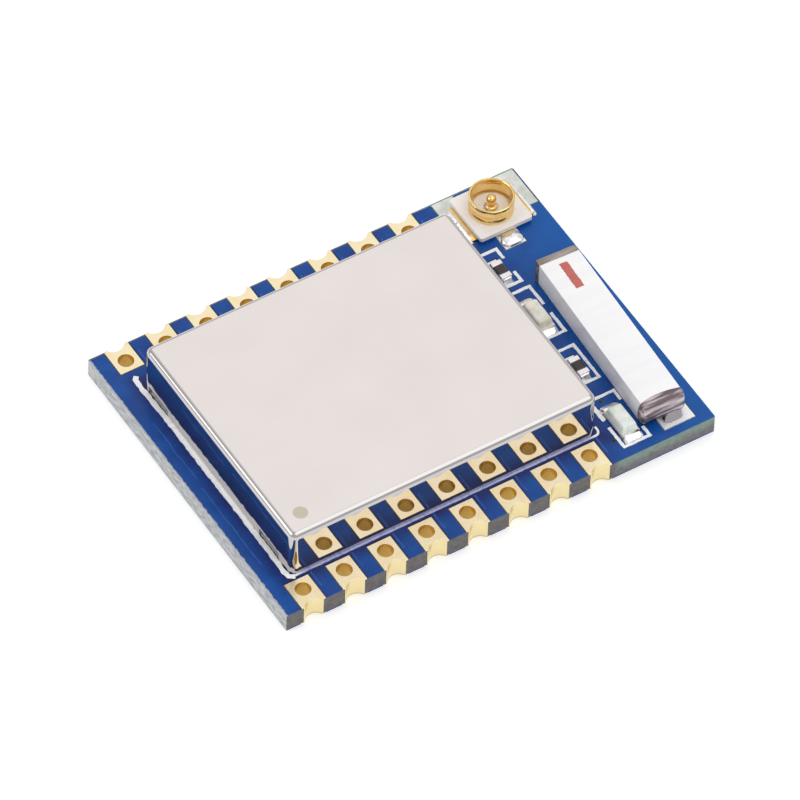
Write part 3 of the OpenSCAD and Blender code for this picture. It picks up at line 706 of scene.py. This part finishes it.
# %% Build the can
def can_ring(inset):
    """A closed ring, anticlockwise from the right wall's back end, and where its slots start."""
    radius = max(CAN_CORNER - inset, 0.02)
    x0, x1 = can_low.x + inset, can_high.x - inset
    y0, y1 = can_low.y + inset, can_high.y - inset
    step = radius + SUPPORT
    ring = arc((x1 - radius, y1 - radius), radius, 0, 90, CORNER_POINTS - 1)
    ring += [(x1 - step, y1), (x0 + step, y1)]
    ring += arc((x0 + radius, y1 - radius), radius, 90, 180, CORNER_POINTS - 1)
    ring += [(x0, y) for y in [y1 - step] + slot_marks + [y0 + step]]
    ring += arc((x0 + radius, y0 + radius), radius, 180, 270, CORNER_POINTS - 1)
    ring += [(x0 + step, y0), (x1 - step, y0)]
    ring += arc((x1 - radius, y0 + radius), radius, 270, 360, CORNER_POINTS - 1)
    ring += [(x1, y) for y in [y0 + step] + slot_marks[::-1] + [y1 - step]]
    return ring


first_left = CORNER_POINTS + 2 + CORNER_POINTS + 1
first_right = first_left + len(slot_marks) + 1 + first_left
slot_starts = {first_left, first_left + 2, first_right, first_right + 2}


def can_skin(bm, inset, bend, crown):
    """One side of the sheet. Returns its two lowest rings."""
    levels = [(inset, top), (inset, top + SLOT_TOP), (inset, top + SLOT_TOP + SUPPORT)]
    levels += [(inset, crown - bend - SUPPORT)]
    for k in range(9):
        angle = math.radians(90 * k / 8)
        levels.append((inset + bend * (1 - math.cos(angle)), crown - bend + bend * math.sin(angle)))
    levels.append((inset + bend + SUPPORT, crown))
    rings = [[bm.verts.new((x, y, z)) for x, y in can_ring(around)] for around, z in levels]
    count = len(rings[0])
    for level, (low, high) in enumerate(zip(rings, rings[1:])):
        for k in range(count):
            if level == 0 and k in slot_starts:
                continue
            n = (k + 1) % count
            bm.faces.new((low[k], low[n], high[n], high[k]))
    bm.faces.new(rings[-1])
    return rings[0], rings[1]


bm = bmesh.new()
outer_foot, outer_slot = can_skin(bm, 0, CAN_BEND, can_high.z)
inner_foot, inner_slot = can_skin(bm, SHEET, CAN_BEND - SHEET, can_high.z - SHEET)
for k in range(len(outer_foot)):
    n = (k + 1) % len(outer_foot)
    outer, inner = (outer_slot, inner_slot) if k in slot_starts else (outer_foot, inner_foot)
    bm.faces.new((outer[k], outer[n], inner[n], inner[k]))
    if k in slot_starts:
        for end in (k, n):
            bm.faces.new((outer_foot[end], outer_slot[end], inner_slot[end], inner_foot[end]))
can = finish_piece("drawn_can", bm, "can_steel", ["shield_can"], 30, weld=False)
print("can:", len(can.data.polygons), "faces")


# %% [markdown]
# ## Coaxial receptacle
#
# The plug clicks over a gold ring about two millimetres across, so the ring has a groove round its
# waist. It is turned from one profile. The ring stands in a white moulding, whose floor rises a
# little inside it, and a pin with a round head stands in the middle. Three flat tabs come out of the
# moulding to be soldered.

# %% Build the receptacle
def turned_about_coax(bm, profile, steps=96, closed=False):
    turned(bm, [(r, top + z) for r, z in profile], (coax_axis.x, coax_axis.y), steps, closed)


shell_low, shell_high = box_mm("coax_shell")
base_low, base_high = box_mm("coax_base")
pin_low, pin_high = box_mm("coax_pin")
rim = shell_high.z - top
TAB_THICKNESS = 0.12
RING_OUTSIDE = [(0.96, 0.2), (0.985, 0.37), (0.985, 0.42), (0.955, 0.5), (0.925, 0.58), (0.92, 0.64),
                (0.935, 0.72), (0.965, 0.78), (0.985, 0.84), (0.985, rim - 0.2), (1.0, rim - 0.14),
                (1.0, rim - 0.06), (0.985, rim - 0.02), (0.955, rim)]
RING_INSIDE = [(0.915, rim), (0.89, rim - 0.02), (0.87, rim - 0.07), (0.865, rim - 0.3),
               (0.855, 0.7), (0.865, 0.5), (0.87, 0.2)]

bm = bmesh.new()
turned_about_coax(bm, [(r * ring_radius, z) for r, z in RING_OUTSIDE + RING_INSIDE], closed=True)
for x0, x1 in ((shell_low.x, base_low.x + 0.3), (base_high.x - 0.3, shell_high.x)):
    block(bm, x0, x1, shell_low.y, shell_high.y, top, top + TAB_THICKNESS)
ring = finish_piece("coax_ring", bm, "coax_gold", ["coax_shell"])
round_off(ring, 0.02, 2, 60)

# %% Moulding and pin
FLANGE_UNDER = 0.15
FOOT_INSET = 0.15
bm = bmesh.new()
x0, x1, y0, y1 = base_low.x, base_high.x, base_low.y, base_high.y
flange = round_rectangle(x0, x1, y0, y1, 0.12)
foot = round_rectangle(x0 + FOOT_INSET, x1 - FOOT_INSET, y0 + FOOT_INSET, y1 - FOOT_INSET, 0.1)
plate(bm, [foot], top, top + FLANGE_UNDER + 0.01)
plate(bm, [flange], top + FLANGE_UNDER, base_high.z)
raised_floor = [(0.8, 0.3), (0.8, 0.42), (0.77, 0.45), (0.34, 0.45), (0.3, 0.42), (0.3, 0.3)]
turned_about_coax(bm, raised_floor, closed=True)
moulding = finish_piece("coax_moulding", bm, "coax_moulding", ["coax_base"])
round_off(moulding, 0.035, 3, 50)

bm = bmesh.new()
HEAD = 0.22
height = pin_high.z - top
head = [(HEAD * math.cos(t), height - HEAD + HEAD * math.sin(t))
        for t in [math.radians(-40 + 125 * k / 10) for k in range(11)]]
turned_about_coax(bm, [(0.24, 0.2), (0.25, 0.5), (0.235, 0.56), (0.205, 0.58), (0.2, 0.62),
                       (0.19, height - 2 * HEAD - 0.04), (0.16, height - 1.9 * HEAD)] + head, 48)
block(bm, pin_low.x, pin_high.x, pin_low.y, base_low.y + 0.3, top, top + TAB_THICKNESS)
pin = finish_piece("coax_centre_pin", bm, "coax_gold", ["coax_pin"], 40)
round_off(pin, 0.015, 2, 60)
print("receptacle rim at", round(top + rim, 2), "mm")


# %% [markdown]
# ## Aerial
#
# The aerial is a white ceramic bar, set down by hand or machine and so not quite square to the
# board. Its own frame has x across the bar and y along it, and a single matrix turns that frame into
# place. The silver paste at the front was dipped: it stands proud, barrel shaped, and its border on
# the top bows backward. At the back it is only a thin strip.

# %% The aerial's own frame
AERIAL_TURN = -2.6
bar_low, bar_high = box_mm("aerial_body", "aerial_back_cap")
front_low, front_high = box_mm("aerial_front_cap")
tilt = math.radians(-AERIAL_TURN)
span = bar_high - bar_low
bar_width = (span.x * math.cos(tilt) - span.y * math.sin(tilt)) / math.cos(2 * tilt)
bar_length = (span.y * math.cos(tilt) - span.x * math.sin(tilt)) / math.cos(2 * tilt)
bar_middle = (bar_low + bar_high) / 2
turn_bar = Matrix.Rotation(math.radians(AERIAL_TURN), 4, "Z")
to_aerial = Matrix.Translation((bar_middle.x, bar_middle.y, 0)) @ turn_bar
print("the bar is", round(bar_length, 2), "by", round(bar_width, 2), "mm")


# %% Build the aerial
FILM = 0.015
STRIP = 0.35
half_bar, half_long = bar_width / 2, bar_length / 2
bar_top = bar_high.z

bm = bmesh.new()
block(bm, -half_bar + FILM, half_bar - FILM, -half_long + 0.02, half_long - STRIP / 2,
      top, bar_top - FILM)
bm.transform(to_aerial)
bar = finish_piece("aerial_bar", bm, "aerial_ceramic", ["aerial_body"])
round_off(bar, 0.05, 3)

bm = bmesh.new()
block(bm, -half_bar, half_bar, half_long - STRIP, half_long, top, bar_top)
bm.transform(to_aerial)
strip = finish_piece("aerial_back_strip", bm, "aerial_metal", ["aerial_back_cap"])
round_off(strip, 0.06, 3)


# %% The dipped end
CAP_FRONT = 0.44
CAP_BOW = 0.14
CAP_PROUD = 0.1
CAP_ROUND = 0.2
cap_half = half_bar + CAP_PROUD


def cap_section(u, squash, bow, steps=40):
    """A closed section across the dipped end, in the y-z plane, at the place u along the end."""
    middle_z = (top + bar_top) / 2
    half_z = (bar_top - top) / 2 - 0.005
    points = []
    for k in range(steps):
        angle = 2 * math.pi * k / steps
        c, s = math.cos(angle), math.sin(angle)
        reach = (CAP_FRONT + bow) if c < 0 else 0.1
        y = -half_long + bow + reach * math.copysign(abs(c) ** 0.95, c) * squash
        z = middle_z + half_z * math.copysign(abs(s) ** 0.95, s) * (0.35 + 0.65 * squash)
        points.append((u, y, z))
    return points


bm = bmesh.new()
sections = []
for k in range(41):
    share = k / 40
    u = -cap_half * math.cos(math.pi * share)
    to_end = cap_half - abs(u)
    lean = max(0.0, 1 - to_end / CAP_ROUND)
    squash = max(math.sqrt(max(1 - lean * lean, 0)), 0.12)
    bow = CAP_BOW * max(0, 1 - (u / half_bar) ** 2)
    sections.append(cap_section(u, squash, bow))
ring_stack(bm, sections)
bm.transform(to_aerial)
finish_piece("aerial_dipped_end", bm, "aerial_metal", ["aerial_front_cap"], 60, front_silver)


# %% The mark that shows which way round the aerial goes
def rough_outline(x0, x1, y0, y1, step, depth):
    """A rectangle whose edges wander a little, as printed ink does."""
    points = []
    corners = rectangle(x0, x1, y0, y1)
    for (ax, ay), (bx, by) in zip(corners, corners[1:] + corners[:1]):
        count = max(2, round(math.hypot(bx - ax, by - ay) / step))
        for k in range(count):
            drift = random.uniform(-depth, depth)
            across = random.uniform(-depth, depth)
            points.append((ax + (bx - ax) * k / count + drift, ay + (by - ay) * k / count + across))
    return points


random.seed(11)
mark_low, mark_high = box_mm("aerial_mark")
mark_middle = to_aerial.inverted() @ ((mark_low + mark_high) / 2)
MARK_WIDTH, MARK_LENGTH = 0.38, 1.5
bm = bmesh.new()
outline = rough_outline(mark_middle.x - MARK_WIDTH / 2, mark_middle.x + MARK_WIDTH / 2,
                        mark_middle.y - MARK_LENGTH / 2, mark_middle.y + MARK_LENGTH / 2, 0.09, 0.012)
plate(bm, [outline], bar_top - 2 * FILM, bar_top)
bm.transform(to_aerial)
finish_piece("aerial_mark_print", bm, "mark_ink", ["aerial_mark"], 40)
print(len(PIECES), "pieces so far")


# %% [markdown]
# ## Resistors and lamps
#
# Both are chips, soldered at their two ends. A resistor is a slip of white ceramic with a black
# glaze on top and wrap-round metal ends. A lamp is a clear resin block, moulded on a little carrier.
# Broken edges and slightly domed tops are what make such tiny blocks look real.

# %% Domed blocks
def domed_block(bm, x0, x1, y0, y1, z0, z1, lean=0.0, dome=0.0, round_corner=0.04):
    """A block whose sides lean in towards a softly domed top."""
    side = (z1 - z0) - dome
    rings = []
    for inset, z in ((0, z0), (lean, z0 + side), (lean + 0.02, z0 + side + dome * 0.5),
                     (lean + 0.07, z0 + side + dome * 0.85), (lean + 0.14, z1)):
        ring = round_rectangle(x0 + inset, x1 - inset, y0 + inset, y1 - inset, round_corner, 4)
        rings.append([(x, y, z) for x, y in ring])
    ring_stack(bm, rings)


def end_cap(bm, x0, x1, y_end, y_inner, z0, z1, thickness=0.04):
    """A metal end that wraps over the top, the end face and the underside of a chip."""
    inward = thickness if y_inner > y_end else -thickness
    y_face, low, high = y_end + inward, z0 + thickness, z1 - thickness
    section = [(y_end, z0), (y_inner, z0), (y_inner, low), (y_face, low),
               (y_face, high), (y_inner, high), (y_inner, z1), (y_end, z1)]
    ring_stack(bm, [[(x, y, z) for y, z in section] for x in (x0, x1)])


# %% Build the resistors
END_LENGTH = 0.24
for number in (1, 2):
    ends_low, ends_high = box_mm(f"resistor_{number}_ends")
    coat_low, coat_high = box_mm(f"resistor_{number}_coat")
    bm = bmesh.new()
    block(bm, ends_low.x + 0.01, ends_high.x - 0.01, ends_low.y + 0.03, ends_high.y - 0.03,
          ends_low.z + 0.02, coat_low.z)
    slip = finish_piece(f"resistor_{number}_slip", bm, "resistor_ceramic",
                        [f"resistor_{number}_body"])
    round_off(slip, 0.015)
    bm = bmesh.new()
    domed_block(bm, coat_low.x, coat_high.x, coat_low.y - 0.01, coat_high.y + 0.01,
                coat_low.z - 0.06, coat_high.z, 0.0, 0.05)
    finish_piece(f"resistor_{number}_glaze", bm, "resistor_coat", [f"resistor_{number}_coat"], 50)
    bm = bmesh.new()
    end_cap(bm, ends_low.x, ends_high.x, ends_low.y, ends_low.y + END_LENGTH, top, ends_high.z)
    end_cap(bm, ends_low.x, ends_high.x, ends_high.y, ends_high.y - END_LENGTH, top, ends_high.z)
    ends = finish_piece(f"resistor_{number}_metal", bm, "tin", [f"resistor_{number}_ends"],
                        look=bright_end)
    round_off(ends, 0.025, 3)

# %% Build the lamps
for number, resin in ((1, cream_resin), (2, FINISHES["lamp_lens"])):
    carrier_low, carrier_high = box_mm(f"led_{number}_base")
    lens_low, lens_high = box_mm(f"led_{number}_lens")
    bm = bmesh.new()
    block(bm, carrier_low.x, carrier_high.x, carrier_low.y, carrier_high.y, top, carrier_high.z)
    carrier = finish_piece(f"lamp_{number}_carrier", bm, "lamp_carrier", [f"led_{number}_base"])
    round_off(carrier, 0.02)
    bm = bmesh.new()
    domed_block(bm, lens_low.x + 0.01, lens_high.x - 0.01, lens_low.y, lens_high.y,
                lens_low.z - 0.01, lens_high.z, 0.06, 0.1, 0.08)
    finish_piece(f"lamp_{number}_resin", bm, "lamp_lens", [f"led_{number}_lens"], 50, resin)
print(len(PIECES), "pieces so far")


# %% [markdown]
# ## Solder
#
# Molten solder climbs the metal ends and freezes in a hollow curve, and where there is too much of
# it, it bulges instead. Each joint is a stack of rings between the outline on the board and the
# line it climbs to. A power below one bulges the curve and a power above one hollows it.

# %% Helpers: solder
def mound(bm, outer, inner, climb, power, corner=0.14, wobble=0.005, rings=9):
    """Solder between a rectangle on the board and a smaller one above it: x0, x1, y0, y1."""
    stack = []
    for k in range(rings):
        share = k / (rings - 1)
        box = [a + (b - a) * share for a, b in zip(outer, inner)]
        room = min(box[1] - box[0], box[3] - box[2]) * 0.45
        ring = round_rectangle(*box, min(corner, room), 5)
        jitter = wobble * (1 - share)
        rise = top + climb * share ** power
        stack.append([(x + random.uniform(-jitter, jitter), y + random.uniform(-jitter, jitter), rise)
                      for x, y in ring])
    ring_stack(bm, stack)


def end_joints(bm, node_name, sides, behind, ahead, climb, power, **shape):
    """Solder at both ends of a chip. Each pair is a distance on the board and one at the top."""
    low, high = box_mm(node_name)
    for end, way in ((low.y, -1), (high.y, 1)):
        outer, inner = [(low.x - side, high.x + side, *sorted((end - way * near, end + way * far)))
                        for side, near, far in zip(sides, behind, ahead)]
        mound(bm, outer, inner, climb, power, **shape)


# %% Build the solder
random.seed(5)
bm = bmesh.new()
for lamp, climb in ((1, 0.16), (2, 0.2)):
    end_joints(bm, f"led_{lamp}_base", (0.07, -0.04), (0.08, 0.06), (0.36, 0.08), climb, 0.7,
               corner=0.2, wobble=0.015)
for resistor in (1, 2):
    end_joints(bm, f"resistor_{resistor}_ends", (0.03, -0.05), (0.04, 0.03), (0.22, 0.03), 0.24, 1.3)
for tab, way in ((shell_low.x, -1), (shell_high.x, 1)):
    mound(bm, (tab - 0.12, tab + 0.12, shell_low.y - 0.06, shell_high.y + 0.04),
          (*sorted((tab - way * 0.1, tab)), shell_low.y + 0.2, shell_high.y - 0.2),
          TAB_THICKNESS + 0.05, 0.7)
mound(bm, (pin_low.x - 0.2, pin_high.x + 0.22, pin_low.y - 0.46, pin_low.y + 0.2),
      (pin_low.x + 0.06, pin_high.x - 0.04, pin_low.y - 0.2, pin_low.y + 0.12), 0.19, 0.45, 0.3)
pad_x, pad_y = front_high.x - 0.5, front_low.y
mound(bm, (pad_x - 0.62, pad_x + 0.3, pad_y - 0.16, pad_y + 0.3),
      (pad_x - 0.3, pad_x, pad_y + 0.14, pad_y + 0.28), 0.42, 0.8, 0.2, 0.02)
solder = finish_piece("solder", bm, "solder", ["solder_joints"], 70)
print("solder:", len(solder.data.polygons), "faces")


# %% [markdown]
# ## Printed outlines
#
# The white print is a thick ink, laid down through a stencil. Its strokes are even but never quite
# sharp. A stroke is a strip that follows a line of points, mitred at its corners, with a little
# random wander in its width.

# %% Strokes
def resample(points, step):
    """The same line with a point at about every step, corners kept."""
    fine = []
    for (ax, ay), (bx, by) in zip(points, points[1:]):
        count = max(1, round(math.hypot(bx - ax, by - ay) / step))
        fine += [(ax + (bx - ax) * k / count, ay + (by - ay) * k / count) for k in range(count)]
    return fine + [points[-1]]


def stroke(bm, points, width, z0, z1, wander=0.012, step=0.16):
    """A strip of the given width along a line of points, with edges that wander a little."""
    line = resample(points, step)
    rings = []
    for k, (x, y) in enumerate(line):
        ax, ay = line[max(k - 1, 0)]
        bx, by = line[min(k + 1, len(line) - 1)]
        before = Vector((x - ax, y - ay)).normalized() if k else Vector((bx - x, by - y)).normalized()
        after = Vector((bx - x, by - y)).normalized() if k < len(line) - 1 else before
        normal = Vector((-(before.y + after.y), before.x + after.x)).normalized()
        mitre = 1 / max(0.5, normal.dot(Vector((-after.y, after.x))))
        left, right = [[start + side * part * (width / 2 + random.uniform(-wander, wander)) * mitre
                        for start, part in zip((x, y), normal)] for side in (1, -1)]
        rings.append([(*left, z0), (*right, z0), (*right, z1), (*left, z1)])
    ring_stack(bm, rings)


def frame_strokes(bm, centre, length, width, left_gap, right_gap, ink=0.14):
    """Two brackets round a part, open by a gap in each long side."""
    x, y = centre
    for way in (1, -1):
        end = y + way * (length - ink) / 2
        half = (width - ink) / 2
        line = [(x - half, y + way * left_gap / 2), (x - half, end), (x + half, end),
                (x + half, y + way * right_gap / 2)]
        stroke(bm, line, ink, top, top + INK)


# %% [markdown]
# Every lamp and resistor has a frame of two brackets. A long stroke follows the can's left wall and
# another its front wall. The left one has a second pass, a thin bead of ink along the can's foot.

# %% Sizes of the print
INK = 0.03
PRINT_SHIFT = Vector((0.04, 0.25))
FRAMES = {  # length, width, and the gaps in the left and right sides
    "led_1_base": (2.97, 1.4, 0.55, 0.55),
    "led_2_base": (2.97, 1.4, 0.4, 1.7),
    "resistor_1_ends": (2.17, 1.16, 0.84, 0.84),
    "resistor_2_ends": (2.17, 1.16, 0.02, 0.02),
}
SIDE_PRINT, FRONT_PRINT, FOOT_BEAD = 0.22, 0.1, 0.1
SHORT_BAR = [(6.4, -5.0), (6.4, -5.85)]
left_x = can_low.x - SIDE_PRINT / 2
left_out = left_x - 0.04
front_y = can_low.y - FRONT_PRINT / 2
right_x = can_high.x + 0.19
back_y = box_mm("legend")[1].y - 0.1
bead_x = can_low.x - FOOT_BEAD / 2 + 0.015

# %% Print the outlines
random.seed(3)
bm = bmesh.new()
for node_name, sizes in FRAMES.items():
    low, high = box_mm(node_name)
    middle = (low + high).xy / 2 + PRINT_SHIFT
    frame_strokes(bm, middle, *sizes)
side_line = [(left_out + 0.14, back_y), (left_out, back_y - 0.14), (left_out, back_y - 0.9),
             (left_x, back_y - 2.2), (left_x, front_y + 1.4), (left_out, front_y + 0.4),
             (left_out + 0.05, front_y + 0.1), (left_out + 0.28, front_y - 0.04)]
stroke(bm, side_line, SIDE_PRINT, top, top + INK, 0.022)
stroke(bm, [(bead_x, SLOT_CENTRES[0] - 1.2), (bead_x, SLOT_CENTRES[1] + 1.2)], FOOT_BEAD,
       top, top + 0.05, 0.014)
front_line = [(left_x + 0.22, front_y), (right_x - 0.22, front_y)]
front_line += arc((right_x - 0.22, front_y + 0.22), 0.22, 275, 360, 5) + [(right_x, front_y + 0.42)]
stroke(bm, front_line, FRONT_PRINT, top, top + 0.8 * INK, 0.01)
stroke(bm, SHORT_BAR, 0.1, top, top + 0.9 * INK)
finish_piece("printed_outlines", bm, "legend_ink", ["legend"], 40)
print(len(PIECES), "pieces so far")


# %% [markdown]
# ## Copper under the lacquer
#
# The lacquer follows the copper below it, so the edges of a track show as faint raised lines. They
# are thin strokes of lacquer, almost flush with the rest, painted a lighter blue than it: a painted
# highlight where the ridges catch the light.

# %% Raise the lines over the tracks
RELIEF = 0.008
UNDER = 0.01
LEFT_TRACKS = ((0.5, -5.2, -0.4), (0.55, 0.1, 3.6))  # from the left edge, then y from and to
random.seed(9)
bm = bmesh.new()
for number in CONTACTS:
    centre = hole_centres[number]
    way = 1 if centre.y < 0 else -1
    edge = board_low.y if way > 0 else board_high.y
    x = centre.x + land_half + 0.17
    if x < board_high.x and abs(edge + way * land_length) > 6:
        line = [(x, edge + way * 1.5), (x, edge + way * 0.9), (x + 0.02, edge + way * 0.6)]
        stroke(bm, line, 0.09, top - UNDER, top + RELIEF, 0.01)
for inset, start, end in LEFT_TRACKS:
    line = [(board_low.x + inset + random.uniform(-0.03, 0.03), start + (end - start) * k / 6)
            for k in range(7)]
    stroke(bm, line, 0.06, top - UNDER, top + RELIEF, 0.015)
finish_piece("lacquer_over_tracks", bm, "solder_mask", smooth_angle=40, look=raised_lacquer_highlit)
print(len(PIECES), "pieces in all")


# %% [markdown]
# ## Studio
#
# The module lies on a seamless white sheet, in even light from all round. Three softboxes add to
# it, behind, overhead and on the left, so the walls that face the front stay darker than the top
# and each edge gets a fine highlight. The sheet glows a little, but only for the camera and in
# mirrors. So it comes out plain white, with a soft contact shadow, and throws no extra light on the
# gold and the can.
#
# From below the sheet is clear, so that the underside can be looked at as well. It is also clear
# for light that leaves a surface lying on it, which would otherwise be black from below.

# %% Floor
FLOOR_REACH = 400
FLOOR_LIFT = 0.28
TOUCHING = 0.1

bm = bmesh.new()
fill(bm, [rectangle(-FLOOR_REACH, FLOOR_REACH, -FLOOR_REACH, FLOOR_REACH)], 0)
bm.normal_update()
bmesh.ops.reverse_faces(bm, faces=[face for face in bm.faces if face.normal.z < 0])
floor = mesh_object("floor", bm)

paper = Finish("floor_paper", (244, 244, 244), 0.8, Emission_Color=(255, 255, 255))
paper.tint(paper.noise(0.02, 2), (243, 243, 243), (246, 246, 246))
ray = paper.node("LightPath").outputs
is_seen = paper.maths("ADD", ray["Is Camera Ray"], ray["Is Glossy Ray"])
paper.feed("Emission Strength", paper.times(is_seen, FLOOR_LIFT))
is_touching = paper.maths("LESS_THAN", ray["Ray Length"], TOUCHING * MM)
is_touching = paper.times(is_touching, paper.maths("SUBTRACT", 1, ray["Is Camera Ray"]))
is_clear = paper.maths("MAXIMUM", paper.node("NewGeometry").outputs["Backfacing"], is_touching)
clear = paper.node("BsdfTransparent").outputs["BSDF"]
sheet = paper.node("MixShader")
for socket, source in zip(sheet.inputs, (is_clear, paper.shader.outputs["BSDF"], clear)):
    paper.links.new(source, socket)
paper.links.new(sheet.outputs["Shader"], paper.nodes["Material Output"].inputs["Surface"])
floor.data.materials.append(paper.material)


# %% Lights
def softbox(name, place, size, power, aim=(0, 0, 0)):
    """A rectangular soft light. Place, size and aim in millimetres, power in watts."""
    data = bpy.data.lights.new(name, "AREA")
    data.shape = "RECTANGLE"
    data.size, data.size_y = size[0] * MM, size[1] * MM
    data.energy = power
    light = bpy.data.objects.new(name, data)
    scene.collection.objects.link(light)
    light.location = Vector(place) * MM
    light.rotation_euler = (Vector(aim) - Vector(place)).to_track_quat("-Z", "Y").to_euler()
    return light


softbox("backdrop_softbox", (70, 107, 154), (210, 210), 0.037)
softbox("overhead_softbox", (45, -75, 180), (200, 160), 0.1)
softbox("left_softbox", (-160, 60, 120), (120, 120), 0.08)
world = bpy.data.worlds.new("studio")
scene.world = world
world.use_nodes = True
world.node_tree.nodes["Background"].inputs["Color"].default_value = (1, 1, 1, 1)
world.node_tree.nodes["Background"].inputs["Strength"].default_value = 0.68
scene.view_settings.view_transform = "Standard"


# %% [markdown]
# ## Camera
#
# A long lens from the front left, about fifty degrees above the table, leaning by two degrees. Its
# place is worked out from those angles.

# %% Camera
CAMERA_AZIMUTH, CAMERA_ELEVATION, CAMERA_ROLL = -33.410, 50.313, -2.190
CAMERA_DISTANCE = 466.49
LENS = 500.0
aim_point = Vector((-0.0337, 0, 0))
shift_up = -0.1276

azimuth, elevation = math.radians(CAMERA_AZIMUTH), math.radians(CAMERA_ELEVATION)
back = Vector((math.sin(azimuth) * math.cos(elevation), -math.cos(azimuth) * math.cos(elevation),
               math.sin(elevation)))
right = Vector((math.cos(azimuth), math.sin(azimuth), 0))
up = back.cross(right)
turn = Matrix.Rotation(math.radians(CAMERA_ROLL), 3, "Z")
axes = turn @ Matrix((right, up, back))
place = axes.transposed() @ (Vector((0, 0, CAMERA_DISTANCE)) - Vector((0, shift_up, 0))) + aim_point
camera_data = bpy.data.cameras.new("camera")
camera_data.lens = LENS
camera_data.sensor_width = 36
camera_data.clip_start = 0.01
camera_data.clip_end = 10
camera = bpy.data.objects.new("camera", camera_data)
scene.collection.objects.link(camera)
camera.matrix_world = Matrix.Translation(place * MM) @ axes.transposed().to_4x4()
scene.camera = camera
